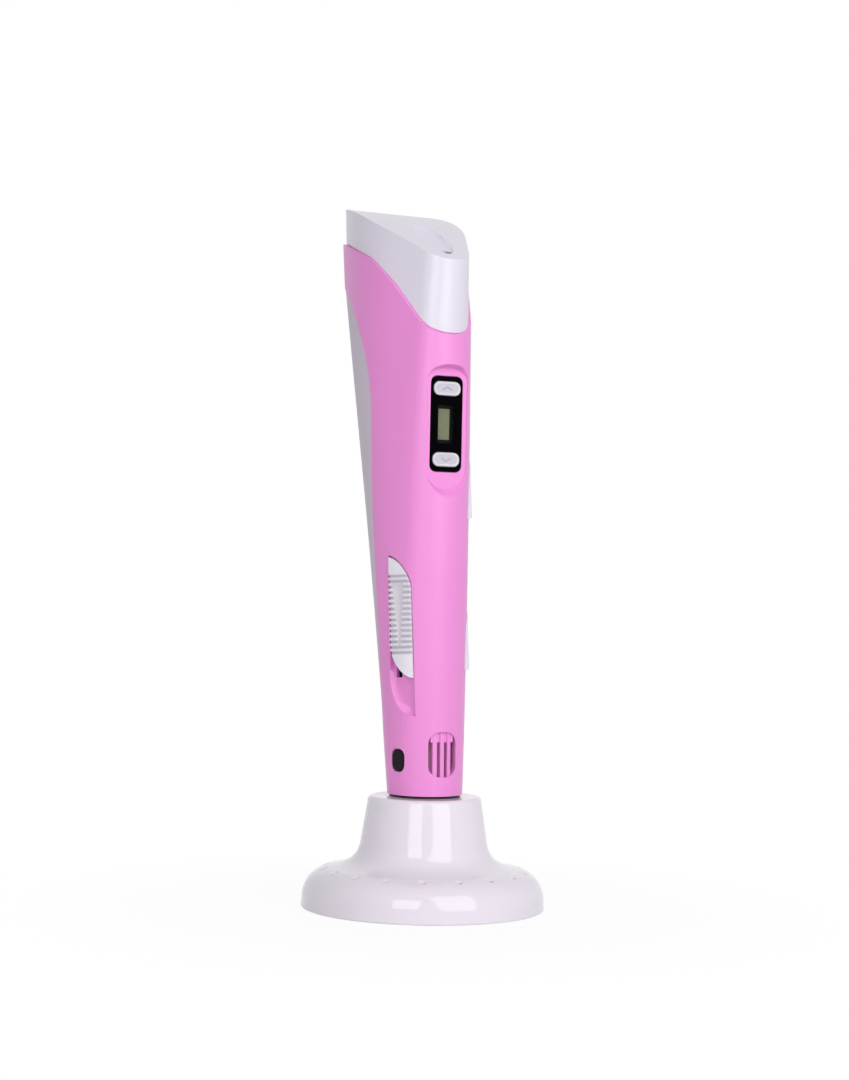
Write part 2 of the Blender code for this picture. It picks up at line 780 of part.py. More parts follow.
cap_rise = CAP_SEAM_BACK - CAP_SEAM_FRONT
cap_seam = [
    Vector((-p.x, p.y))
    for p in bezier(
        (
            (TAIL_FRONT + SKIN + SEAM, CAP_SEAM_FRONT),
            (0.5 * TAIL_FRONT, CAP_SEAM_FRONT + 0.058 * cap_rise),
            (0.14 * TAIL_FRONT, CAP_SEAM_FRONT + 0.466 * cap_rise),
            (-0.35 * TAIL_BACK, CAP_SEAM_FRONT + 0.765 * cap_rise),
        ),
        10,
    )
    + bezier(
        (
            (-0.35 * TAIL_BACK, CAP_SEAM_FRONT + 0.765 * cap_rise),
            (-0.6 * TAIL_BACK, CAP_SEAM_FRONT + 0.885 * cap_rise),
            (-0.82 * TAIL_BACK, CAP_SEAM_FRONT + 0.955 * cap_rise),
            (-TAIL_BACK - OVERSHOOT, CAP_SEAM_BACK),
        ),
        6,
    )[1:]
]
spine_height = SPINE_TOP - SPINE_BOTTOM
spine_seam = [
    Vector((-p.x, p.y))
    for p in bezier(
        (
            (-TAIL_BACK - OVERSHOOT, SPINE_TOP),
            (-0.7 * TAIL_BACK, SPINE_TOP - 0.017 * spine_height),
            (-SPINE_SIDE, SPINE_TOP - 0.135 * spine_height),
            (-SPINE_SIDE, SPINE_BOTTOM + 0.7 * spine_height),
        ),
        10,
    )
    + bezier(
        (
            (-SPINE_SIDE, SPINE_BOTTOM + 0.7 * spine_height),
            (-SPINE_SIDE, SPINE_BOTTOM + 0.5 * spine_height),
            (-SPINE_LOW_SIDE, SPINE_BOTTOM + 0.3 * spine_height),
            (-SPINE_LOW_SIDE, SPINE_BOTTOM + 0.1 * spine_height),
        ),
        6,
    )[1:]
    + bezier(
        (
            (-SPINE_LOW_SIDE, SPINE_BOTTOM + 0.1 * spine_height),
            (-SPINE_LOW_SIDE, SPINE_BOTTOM + 0.03 * spine_height),
            (-SPINE_LOW_SIDE - 1.2 * MM, SPINE_BOTTOM),
            (-NOSE_RADIUS - OVERSHOOT, SPINE_BOTTOM),
        ),
        5,
    )[1:]
]


def cap_region(gap):
    """Solid over everything above the cap's seam, its edge raised by gap."""
    line = shifted(cap_seam, -gap)
    above = TOP_BACK + 4 * OVERSHOOT
    line += [Vector((line[-1].x, above)), Vector((line[0].x, above))]
    return prism(line, SIDEWAYS, -TAIL_WIDE * 1.5, TAIL_WIDE * 1.5)


def spine_region(gap):
    """Solid over everything behind the spine cover's seam, its edge drawn back by gap."""
    line = shifted(spine_seam, -gap)
    behind = TAIL_BACK + 2 * OVERSHOOT
    line = [Vector((behind, line[0].y))] + line + [Vector((behind, line[-1].y))]
    return prism(line, SIDEWAYS, -TAIL_WIDE * 1.5, TAIL_WIDE * 1.5)


def body(low, high, offset):
    """Solid out to an offset of the housing's outline between two heights."""
    levels = [low] + [z for z in FLARE_LEVELS if low < z < high] + [high]
    return loft([section(z, offset) for z in levels])


def tube(levels, outside, inside):
    """Open-ended wall between two offsets of the housing's outline."""
    outer = [section(z, outside) for z in levels]
    inner = [section(z, inside) for z in reversed(levels)]
    return loft(outer + inner, wrap=True)


def rod(radius, low, high, frame, segments=16):
    """Plain round bar along a frame's third axis."""
    return lathe([(0, low), (radius, low), (radius, high), (0, high)], segments, frame)


# Front shell: wall, display seat, slider bed and the posts that carry the board

bezel_back = PANEL_FRONT + BEZEL_PROUD - BEZEL_THICK
panel_frame = at(0, 0, PANEL_CENTRE, FRONT)
slider_frame = side_frame(-SIDE_ANGLE, SLIDER_HEIGHT, SLIDER_SHIFT, SLIDER_LEAN)
status_frame = side_frame(-STATUS_ANGLE, STATUS_HEIGHT)
load_frame = side_frame(SIDE_ANGLE, LOAD_HEIGHT, FEED_SHIFT, -SLIDER_LEAN)
unload_frame = side_frame(SIDE_ANGLE, UNLOAD_HEIGHT, FEED_SHIFT, -SLIDER_LEAN)
post_heights = (BOARD_POST_LOW, PANEL_CENTRE - BEZEL_HEIGHT / 2 - BOARD_POST_DROP)
middle_of_wall = (SKIN - INNER) / 2


def panel_outline(rise):
    """Outline of the flat round the display at a height over its floor: an arch over a long U."""
    half = PANEL_HALF + rise * PANEL_SLOPE
    shoulder = PANEL_ABOVE + rise * PANEL_SLOPE - PANEL_ARCH
    low = PANEL_BELOW + rise * PANEL_RUN_OUT - PANEL_HALF
    turns = [math.pi * k / 12 for k in range(13)]
    arch = [(math.cos(t), math.sin(t)) for t in turns]
    upper = [(half * math.copysign(abs(c) ** 0.8, c), shoulder + PANEL_ARCH * s ** 0.8) for c, s in arch]
    lower = [(-half * c, -low - PANEL_HALF * s) for c, s in arch]
    return [Vector(p) for p in upper + lower]


shell = tube(FLARE_LEVELS, SKIN, -INNER)
pad_low = PANEL_CENTRE - PANEL_BELOW - PAD_THICK
pad_high = PANEL_CENTRE + PANEL_ABOVE + PAD_THICK
pad_half = PANEL_HALF + PAD_THICK
pad = box((-pad_half, pad_half), (-TAIL_FRONT - NOSE_RADIUS, -PAD_BACK), (pad_low, pad_high))
shell = join(shell, within(pad, body(pad_low - MM, pad_high + MM, middle_of_wall)))
bed_tips = (SLIDER_LENGTH / 2 + BED_HEAD, -SLIDER_LENGTH / 2 - SLIDER_TRAVEL - BED_ROOM)
bed_bottom = -BED_DEPTH - BED_FLOOR
bed = leaf(SLIDER_WIDTH, bed_tips, (SLIDER_SWEEP, BED_SWEEP), RUN + BED_MARGIN)
bed = prism(bed, slider_frame, bed_bottom, 0)
bed_span = OVERSHOOT - bed_tips[1]
bed = within(bed, body(SLIDER_HEIGHT - bed_span, SLIDER_HEIGHT + bed_span, middle_of_wall))
shell = join(shell, bed)
for z in post_heights:
    start = reach(Vector((0, -1)), z, middle_of_wall) if z < pad_low else PAD_BACK + MM
    shell = join(shell, rod(BOARD_POST_RADIUS, BOARD_FRONT + SEAT, start, at(0, 0, z, FRONT)))
rib_x = BEZEL_WIDTH / 2 - BEZEL_LEDGE + SEAT
for side in (-1, 1):
    limits = sorted((side * rib_x, side * (rib_x + RIB_THICK)))
    heights = (PANEL_CENTRE - RIB_LENGTH / 2, PANEL_CENTRE + RIB_LENGTH / 2)
    shell = join(shell, box(limits, (-PAD_BACK - MM, -BOARD_FRONT - SEAT), heights))

flat = tapered(
    [
        (panel_outline(0), PANEL_FRONT),
        (panel_outline(OVERSHOOT), PANEL_FRONT + OVERSHOOT),
    ],
    panel_frame,
)
bezel_hole = rounded_box(BEZEL_WIDTH + 2 * SEAT, BEZEL_HEIGHT + 2 * SEAT, BEZEL_CORNER + SEAT)
bezel_pocket = prism(bezel_hole, panel_frame, bezel_back - SEAT, PANEL_FRONT + 2 * MM)
open_size = (BEZEL_WIDTH - 2 * BEZEL_LEDGE, BEZEL_HEIGHT - 2 * BEZEL_LEDGE)
open_hole = prism(rounded_box(*open_size, BEZEL_CORNER - BEZEL_LEDGE), panel_frame, PAD_BACK - MM, bezel_back)
shell = cut(shell, flat, bezel_pocket, open_hole)

floor_sweeps = (SLIDER_SWEEP, BED_SWEEP)
mouth_sweeps = (SLIDER_SWEEP, MOUTH_SWEEP)
bed_floor = leaf(SLIDER_WIDTH, bed_tips, floor_sweeps, RUN, fullness=BED_FULLNESS)
bed_mouth = leaf(SLIDER_WIDTH, bed_tips, mouth_sweeps, RUN, fullness=MOUTH_FULLNESS, belly=MOUTH_BELLY)
stem_sides = (STEM_SHIFT - STEM_WIDTH / 2, STEM_SHIFT + STEM_WIDTH / 2)
stem_ends = (-STEM_DROP - STEM_LENGTH / 2, -STEM_DROP + STEM_LENGTH / 2)
slot_sides = (stem_sides[0] - RUN, stem_sides[1] + RUN)
slot_ends = (stem_ends[0] - SLIDER_TRAVEL - RUN, stem_ends[1] + RUN)
shell = cut(
    shell,
    tapered([(bed_floor, -BED_DEPTH), (bed_mouth, -MOUTH_DEPTH), (bed_mouth, OVERSHOOT)], slider_frame),
    prism(oblong(slot_sides, slot_ends), slider_frame, bed_bottom - MM, 0),
)
status_hole = rounded_box(STATUS_WIDTH + 2 * SEAT, STATUS_TALL + 2 * SEAT, STATUS_WIDTH * 0.4)
shell = cut(shell, prism(status_hole, status_frame, -2 * (SKIN + INNER), 2 * MM))
status_rim = [
    (rounded_box(STATUS_WIDTH + grow, STATUS_TALL + grow, STATUS_WIDTH * 0.4), w * STATUS_RIM)
    for grow, w in ((0, -2), (4 * STATUS_RIM, 1))
]
shell = cut(shell, tapered(status_rim, status_frame))
feed_tips = (FEED_LENGTH / 2, -FEED_LENGTH / 2)
feed_sweeps = (FEED_SWEEP, FEED_SWEEP)
for frame in (load_frame, unload_frame):
    hole = leaf(FEED_WIDTH, feed_tips, feed_sweeps, RUN, side=-1)
    shell = cut(shell, prism(hole, frame, -2 * (SKIN + INNER), 3 * MM))

vent_outline = rounded_box(2 * VENT_HALF, VENT_HIGH - VENT_LOW, VENT_HALF * 0.75, 5)
vent_frame = at(0, 0, (VENT_LOW + VENT_HIGH) / 2, FRONT)
vent = prism(vent_outline, vent_frame, NOSE_RADIUS / 2, NOSE_RADIUS + OVERSHOOT)
for k in range(VENT_BARS):
    x = (k - (VENT_BARS - 1) / 2) * VENT_PITCH
    bar = box((x - VENT_BAR / 2, x + VENT_BAR / 2), (-2 * NOSE_RADIUS, 0), (VENT_LOW - MM, VENT_HIGH + MM))
    vent = cut(vent, within(bar, body(VENT_LOW - 2 * MM, VENT_HIGH + 2 * MM, SKIN - VENT_SINK)))
jack_back = reach(Vector((0, 1)), JACK_HEIGHT, SKIN)
jack_frame = at(0, 0, JACK_HEIGHT, BACK)
shell = cut(shell, vent, rod(JACK_MOUTH + SEAT, jack_back - 6 * MM, jack_back + 2 * MM, jack_frame, 24))
shell = cut(shell, cap_region(-TIGHT_SEAM / 2), spine_region(-SEAM / 2))
for z in post_heights:
    pilot = rod(BOARD_SCREW_RADIUS + SEAT / 2, 0, BOARD_FRONT + BOARD_SCREW_GRIP, at(0, 0, z, FRONT), 12)
    shell = cut(shell, pilot)
place("front_shell", shell, PINK)


# Spine cover with a sunk seat for each of its screws

spine = tube(FLARE_LEVELS, SPINE_SKIN, -INNER)
spine = within(spine, spine_region(SEAM / 2))
head_floors = [reach(Vector((0, 1)), z - SCREW_HEAD, SPINE_SKIN) - SCREW_HEAD_THICK for z in SCREW_HEIGHTS]
for z, floor in zip(SCREW_HEIGHTS, head_floors):
    frame = at(0, 0, z, BACK)
    seat = rod(SCREW_HEAD + PAD_THICK, floor - PAD_THICK, floor + 4 * MM, frame, 16)
    spine = join(spine, within(seat, body(z - 8 * MM, z + 8 * MM, -INNER / 2)))
    spine = cut(
        spine,
        rod(SCREW_HEAD + SEAT, floor, floor + 8 * MM, frame, 16),
        rod(SCREW_RADIUS + SEAT, floor - 4 * MM, floor + MM, frame, 12),
    )
place("spine_cover", spine, WHITE)

for name, z, floor in zip(("lower", "upper"), SCREW_HEIGHTS, head_floors):
    low = floor - PAD_THICK - SEAT - SCREW_GRIP
    high = floor + SCREW_HEAD_THICK
    seat = floor + SEAT
    loop = [(0, low), (SCREW_RADIUS, low), (SCREW_RADIUS, seat)]
    loop += [(SCREW_HEAD, seat), (SCREW_HEAD, high), (0, high)]
    place("spine_screw_" + name, lathe(loop, 16, at(0, 0, z, BACK)), STEEL)


# Tail cap with the filament dish and inlet

cap_levels = [CAP_SEAM_FRONT - 6 * MM, 0.5 * (CAP_SEAM_FRONT + TOP_FRONT), TOP_FRONT - CAP_ROOF - 1.5 * MM]
cap_rings = [top_ring(-INNER, CAP_ROOF)]
cap_rings += [section(z, -INNER) for z in reversed(cap_levels)]
cap_rings += [section(z, 0.0) for z in cap_levels]
cap_rings.append(top_ring(0.0, 0.0))
cap = within(loft(cap_rings, strips=True), cap_region(TIGHT_SEAM / 2))
dish_slope = math.atan2(top_height(DISH_FRONT - MM) - top_height(DISH_FRONT + MM), 2 * MM)
dish_ball = (DISH_WIDTH ** 2 / 4 + DISH_DEPTH ** 2) / (2 * DISH_DEPTH)
dish_angle = math.degrees(math.asin(DISH_WIDTH / 2 / dish_ball))
bowl = arc((0, dish_ball - DISH_DEPTH), dish_ball, -90, -90 + dish_angle * 1.3, 5)
bowl[0].x = 0
bowl.append(Vector((0, bowl[-1].y)))
dish_frame = at(0, -DISH_FRONT, top_height(DISH_FRONT), Matrix.Rotation(dish_slope, 4, "X"))
dish_frame = dish_frame @ Matrix.Diagonal((1, DISH_LENGTH / DISH_WIDTH, 1, 1))
inlet_top = top_height(INLET_FRONT)
cap = cut(
    cap,
    lathe(bowl, 24, dish_frame),
    rod(INLET_RADIUS, inlet_top - 3 * CAP_ROOF, inlet_top + 3 * MM, at(0, -INLET_FRONT, 0), 14),
)
place("top_cap", cap, WHITE)


# Display, its two keys and the switches under them

bezel_front = bezel_back + BEZEL_THICK
bezel = prism(rounded_box(BEZEL_WIDTH, BEZEL_HEIGHT, BEZEL_CORNER), panel_frame, bezel_back, bezel_front)
window_hole = rounded_box(WINDOW_WIDTH, WINDOW_HEIGHT, 0.4 * MM, 2)
bezel = cut(bezel, prism(window_hole, panel_frame, bezel_back - MM, bezel_front + MM))
for side in (-1, 1):
    frame = at(0, 0, PANEL_CENTRE + side * PILL_SPREAD, FRONT)
    hole = rounded_box(PILL_WIDTH + 2 * PILL_GAP, PILL_HEIGHT + 2 * PILL_GAP, PILL_HEIGHT * 0.45 + PILL_GAP)
    bezel = cut(bezel, prism(hole, frame, bezel_back - MM, bezel_front + MM))
place("display_bezel", bezel, BLACK)

pane = rounded_box(WINDOW_WIDTH - 2 * PILL_GAP, WINDOW_HEIGHT - 2 * PILL_GAP, 0.3 * MM, 2)
place("display_window", prism(pane, panel_frame, bezel_back, bezel_front - WINDOW_SUNK), CLEAR)
lcd_front = bezel_back - SEAT
lcd = rounded_box(LCD_WIDTH, LCD_HEIGHT, 0.3 * MM, 2)
place("lcd_panel", prism(lcd, panel_frame, lcd_front - LCD_THICK, lcd_front), LCD_GREY)

switch_front = BOARD_FRONT + SEAT + SWITCH_DEPTH
key_end = switch_front + PILL_TRAVEL + SEAT / 2
key_front = PANEL_FRONT + BEZEL_PROUD + PILL_PROUD
lip_front = bezel_back - SEAT
lip_back = lip_front - 0.5 * MM
for name, side in (("temp_up", 1), ("temp_down", -1)):
    z = PANEL_CENTRE + side * PILL_SPREAD
    frame = at(0, 0, z, FRONT)
    lip = rounded_box(PILL_WIDTH + 2 * PILL_LIP, PILL_HEIGHT + 2 * PILL_LIP, PILL_HEIGHT * 0.45 + PILL_LIP)
    face = rounded_box(PILL_WIDTH, PILL_HEIGHT, PILL_HEIGHT * 0.45)
    crown = rounded_box(PILL_WIDTH - 0.5 * MM, PILL_HEIGHT - 0.5 * MM, PILL_HEIGHT * 0.45 - 0.25 * MM)
    foot = rounded_box(SWITCH_WIDTH, SWITCH_HEIGHT, SWITCH_HEIGHT * 0.3)
    key = tapered(
        [
            (foot, key_end),
            (foot, lip_back),
            (lip, lip_back),
            (lip, lip_front),
            (face, lip_front),
            (face, key_front - 0.25 * MM),
            (crown, key_front),
        ],
        frame,
    )
    place(name + "_button", key, WHITE, Vector((0, -key_front, z)))
    outline = rounded_box(SWITCH_WIDTH, SWITCH_HEIGHT, 0.3 * MM, 2)
    place(name + "_switch", prism(outline, frame, switch_front - SWITCH_DEPTH, switch_front), SWITCH)


# Speed slider and the potentiometer it works

slider_out = Vector((-math.sin(math.radians(SIDE_ANGLE)), -math.cos(math.radians(SIDE_ANGLE))))
slider_reach = reach(slider_out, SLIDER_HEIGHT, SKIN)
knob = leaf(SLIDER_WIDTH, (SLIDER_LENGTH / 2, -SLIDER_LENGTH / 2), (SLIDER_SWEEP, SLIDER_SWEEP))
knob = prism(knob, slider_frame, -SLIDER_UNDER, OVERSHOOT)
knob = within(knob, body(SLIDER_HEIGHT - bed_span, SLIDER_HEIGHT + bed_span, SKIN + SLIDER_PROUD))
stem_end = STEM_END - slider_reach
knob = join(knob, prism(oblong(stem_sides, stem_ends), slider_frame, stem_end, SEAT - SLIDER_UNDER))
place("speed_slider", knob, WHITE, slider_frame.translation)

board_back = BOARD_FRONT - BOARD_THICK
part_front = -board_back + SEAT
part_limits = (part_front, part_front + SIDE_SWITCH_DEPTH)
pot_middle = SLIDER_HEIGHT - STEM_DROP - SLIDER_TRAVEL / 2
pot_heights = (pot_middle - POT_LENGTH / 2, pot_middle + POT_LENGTH / 2)
stem_inner = max((slider_frame @ Vector((stem_sides[1], z, stem_end))).x for z in slot_ends)
pot_sides = (stem_inner + SEAT, -SIDE_SWITCH_INNER)
place("speed_pot", box(pot_sides, (part_front, part_front + POT_DEPTH), pot_heights), SWITCH)


# Feed buttons, each on its own side switch

feed_out = Vector((math.sin(math.radians(SIDE_ANGLE)), -math.cos(math.radians(SIDE_ANGLE))))
switch_edge = feed_out.x * SIDE_SWITCH_REACH - feed_out.y * board_back
board_edge = feed_out.x * BOARD_HALF - feed_out.y * BOARD_FRONT
nub_end = max(switch_edge, board_edge) + FEED_TRAVEL + SEAT
for name, frame, z in (("load", load_frame, LOAD_HEIGHT), ("unload", unload_frame, UNLOAD_HEIGHT)):
    button = prism(leaf(FEED_WIDTH, feed_tips, feed_sweeps, side=-1), frame, -FEED_LIP_DEPTH, OVERSHOOT)
    rise = math.atan2(FEED_PROUD_LOW - FEED_PROUD_HIGH, FEED_LENGTH)
    pivot = Matrix.Translation((0, FEED_LENGTH / 2, 0))
    tilt = frame @ pivot @ Matrix.Rotation(-rise, 4, "X") @ pivot.inverted() @ frame.inverted()
    limit = body(z - 16 * MM, z + 16 * MM, SKIN + FEED_PROUD_HIGH)
    limit.transform(tilt)
    button = within(button, limit)
    lip = leaf(FEED_WIDTH, feed_tips, feed_sweeps, FEED_LIP, side=-1)
    button = join(button, prism(lip, frame, -FEED_LIP_DEPTH - FEED_LIP_THICK, -FEED_LIP_DEPTH + SEAT / 2))
    nub = rounded_box(FEED_NUB, FEED_NUB, 0.4 * MM, 2)
    distance = reach(feed_out, z, SKIN)
    nub_low = min(nub_end - distance, -FEED_LIP_DEPTH - FEED_LIP_THICK - SEAT)
    button = join(button, prism(nub, frame, nub_low, -FEED_LIP_DEPTH))
    place(name + "_button", button, WHITE, frame.translation)
    heights = (z - SIDE_SWITCH_LENGTH / 2, z + SIDE_SWITCH_LENGTH / 2)
    place(name + "_switch", box((SIDE_SWITCH_INNER, SIDE_SWITCH_REACH), part_limits, heights), SWITCH)


# Board and its screws

board = box((-BOARD_HALF, BOARD_HALF), (-BOARD_FRONT, -board_back), (BOARD_LOW, BOARD_HIGH))
for name, z in zip(("lower", "upper"), post_heights):
    frame = at(0, 0, z, FRONT)
    board = cut(board, rod(BOARD_SCREW_RADIUS + SEAT, 0, 2 * BOARD_FRONT, frame, 12))
    low = board_back - SEAT - BOARD_SCREW_HEAD_THICK
    seat = board_back - SEAT
    high = BOARD_FRONT + BOARD_SCREW_GRIP - SEAT
    loop = [(0, low), (BOARD_SCREW_HEAD, low), (BOARD_SCREW_HEAD, seat), (BOARD_SCREW_RADIUS, seat)]
    loop += [(BOARD_SCREW_RADIUS, high), (0, high)]
    place("board_screw_" + name, lathe(loop, 14, frame), STEEL)
place("main_board", board, BOARD)


# Status window and the light behind it

lens_back = -SKIN - INNER - 2 * SEAT
lens = rounded_box(STATUS_WIDTH, STATUS_TALL, STATUS_WIDTH * 0.38)
place("status_lens", prism(lens, status_frame, lens_back, -STATUS_SUNK), LENS_BLACK)
led = rounded_box(LED_SIZE, LED_SIZE, 0.3 * MM, 2)
place("status_led", prism(led, status_frame, lens_back - SEAT - LED_THICK, lens_back - SEAT), LED_BODY)


# Nose and hot end, all turned about the nose axis

spigot = NOSE_RADIUS - INNER - SEAT
nose_bore = NOZZLE_RADIUS + SEAT
place(
    "nose_cone",
    lathe(
        [
            (nose_bore, -CONE_LOW),
            (CONE_END, -CONE_LOW),
            (CONE_TOP, -CONE_BAND),
            (CONE_TOP, -SEAT),
            (spigot, -SEAT),
            (spigot, SPIGOT_HEIGHT),
            (spigot - SPIGOT_WALL, SPIGOT_HEIGHT),
            (spigot - SPIGOT_WALL, 0),
            (nose_bore, -0.4 * CONE_LOW),
        ],
        28,
    ),
    NOSE_BLACK,
)
heater_hole = HEATER_RADIUS + SEAT
nozzle_top = -0.18 * CONE_LOW
place(
    "nozzle_tip",
    lathe(
        [
            (NOZZLE_BORE, -NOZZLE_LENGTH),
            (NOZZLE_TIP, -NOZZLE_LENGTH),
            (NOZZLE_RADIUS, -CONE_LOW + SEAT),
            (NOZZLE_RADIUS, nozzle_top),
            (heater_hole, nozzle_top),
            (heater_hole, -HEATER_DEEP - SEAT),
            (NOZZLE_BORE, -HEATER_DEEP - SEAT),
        ],
        24,
    ),
    CERAMIC,
)
heater = bored(HEATER_RADIUS, HEATER_TOP + HEATER_DEEP, HEATER_BORE)
place("heater_tube", lathe(heater, 16, at(0, 0, -HEATER_DEEP)), BRASS)
sleeve = bored(SLEEVE_RADIUS, SLEEVE_TOP - SEAT, heater_hole)
place("heater_sleeve", lathe(sleeve, 16, at(0, 0, SEAT)), SLEEVE_LOOK)
bead_y = SLEEVE_RADIUS + SEAT + THERMISTOR_RADIUS
bead_ends = (THERMISTOR_RADIUS, THERMISTOR_LENGTH - THERMISTOR_RADIUS)
bead = arc((0, bead_ends[0]), THERMISTOR_RADIUS, -90, 0, 3)
bead += arc((0, bead_ends[1]), THERMISTOR_RADIUS, 0, 90, 3)
bead[0].x = bead[-1].x = 0
place("thermistor", lathe(bead, 10, at(0, bead_y, SPIGOT_HEIGHT + 2 * MM)), BEAD)
mount = cavity(MOUNT_LOW, MOUNT_LOW + MOUNT_THICK)
mount = cut(mount, rod(heater_hole, MOUNT_LOW - MM, MOUNT_LOW + MOUNT_THICK + MM, Matrix(), 16))
place("hot_end_mount", mount, MOUNT_LOOK)


# Filament feed: block, driven gear, idler, gear motor and guide tubes

socket = 2 * MM
gear_x = FILAMENT_RADIUS + GEAR_RADIUS
wheel = (-GEAR_WIDTH / 2, GEAR_WIDTH / 2)
pocket_back = wheel[1] + RUN
tube_low = HEATER_TOP + SEAT
tube_high = BLOCK_LOW + socket - SEAT
pipe = bored(FEED_TUBE_RADIUS, tube_high - tube_low, FEED_TUBE_BORE)
place("feed_tube", lathe(pipe, 14, at(0, 0, tube_low)), TUBE)

block = box((-TAIL_WIDE, TAIL_WIDE), (-BLOCK_FRONT, BLOCK_BACK), (BLOCK_LOW, BLOCK_HIGH))
block = within(block, cavity(BLOCK_LOW - MM, BLOCK_HIGH + MM))
for side in (-1, 1):
    frame = at(side * gear_x, 0, GEAR_HEIGHT, BACK)
    block = cut(block, rod(GEAR_RADIUS + RUN, -BLOCK_FRONT - MM, pocket_back, frame, 24))
block = cut(
    block,
    rod(FILAMENT_RADIUS + RUN, BLOCK_LOW - MM, BLOCK_HIGH + MM, Matrix(), 12),
    rod(FEED_TUBE_RADIUS + SEAT, BLOCK_LOW - MM, BLOCK_LOW + socket, Matrix(), 14),
    rod(INLET_TUBE_RADIUS + SEAT, BLOCK_HIGH - socket, BLOCK_HIGH + MM, Matrix(), 14),
    rod(SHAFT_RADIUS + RUN, 0, BLOCK_BACK + MM, at(gear_x, 0, GEAR_HEIGHT, BACK), 14),
    rod(PIN_RADIUS + SEAT, 0, BLOCK_BACK + MM, at(-gear_x, 0, GEAR_HEIGHT, BACK), 14),
)
place("feed_block", block, CHASSIS)

teeth = []
for k in range(GEAR_TEETH):
    for step, radius in ((0, -1), (0.25, -1), (0.5, 0), (0.75, 0)):
        turn = 2 * math.pi * (k + step) / GEAR_TEETH
        size = GEAR_RADIUS + radius * GEAR_TOOTH
        teeth.append(Vector((size * math.cos(turn), size * math.sin(turn))))
shaft_ring = [p.normalized() * SHAFT_RADIUS for p in teeth]
shaft_end = BLOCK_BACK + SEAT + SHAFT_INSET
gear_frame = at(gear_x, 0, GEAR_HEIGHT, BACK)
gear = [(teeth, wheel[0]), (teeth, wheel[1]), (shaft_ring, wheel[1]), (shaft_ring, shaft_end)]
place("feed_gear", tapered(gear, gear_frame), BRASS, gear_frame.translation)
idler_frame = at(-gear_x, 0, GEAR_HEIGHT, BACK)
idler = bored(GEAR_RADIUS, GEAR_WIDTH, PIN_RADIUS + SEAT)
idler = lathe(idler, 24, idler_frame @ Matrix.Translation((0, 0, wheel[0])))
place("idler_bearing", idler, STEEL, idler_frame.translation)
place("idler_pin", rod(PIN_RADIUS, wheel[0], BLOCK_BACK, idler_frame, 14), STEEL)

box_front = BLOCK_BACK + SEAT
gearbox = box(
    (gear_x - GEARBOX_WIDTH / 2, gear_x + GEARBOX_WIDTH / 2),
    (box_front, box_front + GEARBOX_LENGTH),
    (GEAR_HEIGHT - GEARBOX_HEIGHT / 2, GEAR_HEIGHT + GEARBOX_HEIGHT / 2),
)
gearbox = cut(gearbox, rod(SHAFT_RADIUS + RUN, 0, shaft_end + SEAT, gear_frame, 14))
place("gearbox", gearbox, STEEL)
motor_front = box_front + GEARBOX_LENGTH + SEAT
flat_half = GEARBOX_WIDTH / 2
flat_angle = math.degrees(math.acos(flat_half / MOTOR_RADIUS))
can = arc((0, 0), MOTOR_RADIUS, flat_angle, 180 - flat_angle, 8)
can += arc((0, 0), MOTOR_RADIUS, 180 + flat_angle, 360 - flat_angle, 8)
place("feed_motor", prism(can, gear_frame, motor_front, motor_front + MOTOR_LENGTH), STEEL)

pipe_top = top_height(INLET_FRONT + INLET_TUBE_RADIUS) - CAP_ROOF - SEAT
pipe_low = BLOCK_HIGH - socket + SEAT
pipe_rise = pipe_top - pipe_low
path = bezier(
    (
        (0, pipe_low),
        (0, pipe_low + 0.6 * pipe_rise),
        (-INLET_FRONT, pipe_top - 0.5 * pipe_rise),
        (-INLET_FRONT, pipe_top),
    ),
    6,
)


def pipe_rings(radius):
    """Rings of the inlet tube along its path."""
    rings = []
    for k, point in enumerate(path):
        ahead = (path[min(k + 1, len(path) - 1)] - path[max(k - 1, 0)]).normalized()
        if k in (0, len(path) - 1):
            ahead = Vector((0, 1))
        centre = Vector((0, point.x, point.y))
        across = Vector((0, ahead.y, -ahead.x))
        circle = [(math.cos(math.pi * n / 6), math.sin(math.pi * n / 6)) for n in range(12)]
        rings.append([centre + Vector((c * radius, 0, 0)) + across * s * radius for c, s in circle])
    return rings


place("inlet_tube", loft(pipe_rings(INLET_TUBE_RADIUS) + pipe_rings(FEED_TUBE_BORE)[::-1], wrap=True), TUBE)


# Inner frame, fan and its rotor

frame_back = FRAME_FRONT + FRAME_THICK
plate = box((-TAIL_WIDE, TAIL_WIDE), (FRAME_FRONT, frame_back), (FRAME_LOW, FRAME_HIGH))
plate = within(plate, cavity(FRAME_LOW - MM, FRAME_HIGH + MM))
for z, floor in zip(SCREW_HEIGHTS, head_floors):
    frame = at(0, 0, z, BACK)
    end = floor - PAD_THICK - SEAT
    plate = join(plate, rod(BOSS_RADIUS, FRAME_FRONT + FRAME_THICK / 2, end, frame, 16))
    start = max(end - SCREW_GRIP - SEAT, FRAME_FRONT - MM)
    plate = cut(plate, rod(SCREW_RADIUS + SEAT / 2, start, end + MM, frame, 12))
fan_frame = at(0, 0, FAN_HEIGHT, BACK)
plate = cut(plate, rod(FAN_HOLE - MM, FRAME_FRONT - MM, frame_back + MM, fan_frame, 24))
place("inner_frame", plate, CHASSIS)

fan_front = frame_back + SEAT
fan_back = fan_front + FAN_DEPTH
housing = prism(rounded_box(FAN_SIZE, FAN_SIZE, MM, 3), fan_frame, fan_front, fan_back)
housing = cut(housing, rod(FAN_HOLE, fan_front - MM, fan_back - FAN_PLATE, fan_frame, 24))
for k in range(4):
    turn = math.pi / 2 * k
    spot = 0.62 * FAN_HOLE
    frame = at(spot * math.cos(turn), 0, FAN_HEIGHT + spot * math.sin(turn), BACK)
    housing = cut(housing, rod(0.3 * FAN_HOLE, fan_back - 2 * FAN_PLATE, fan_back + MM, frame, 12))
place("fan_frame", housing, FAN_LOOK)


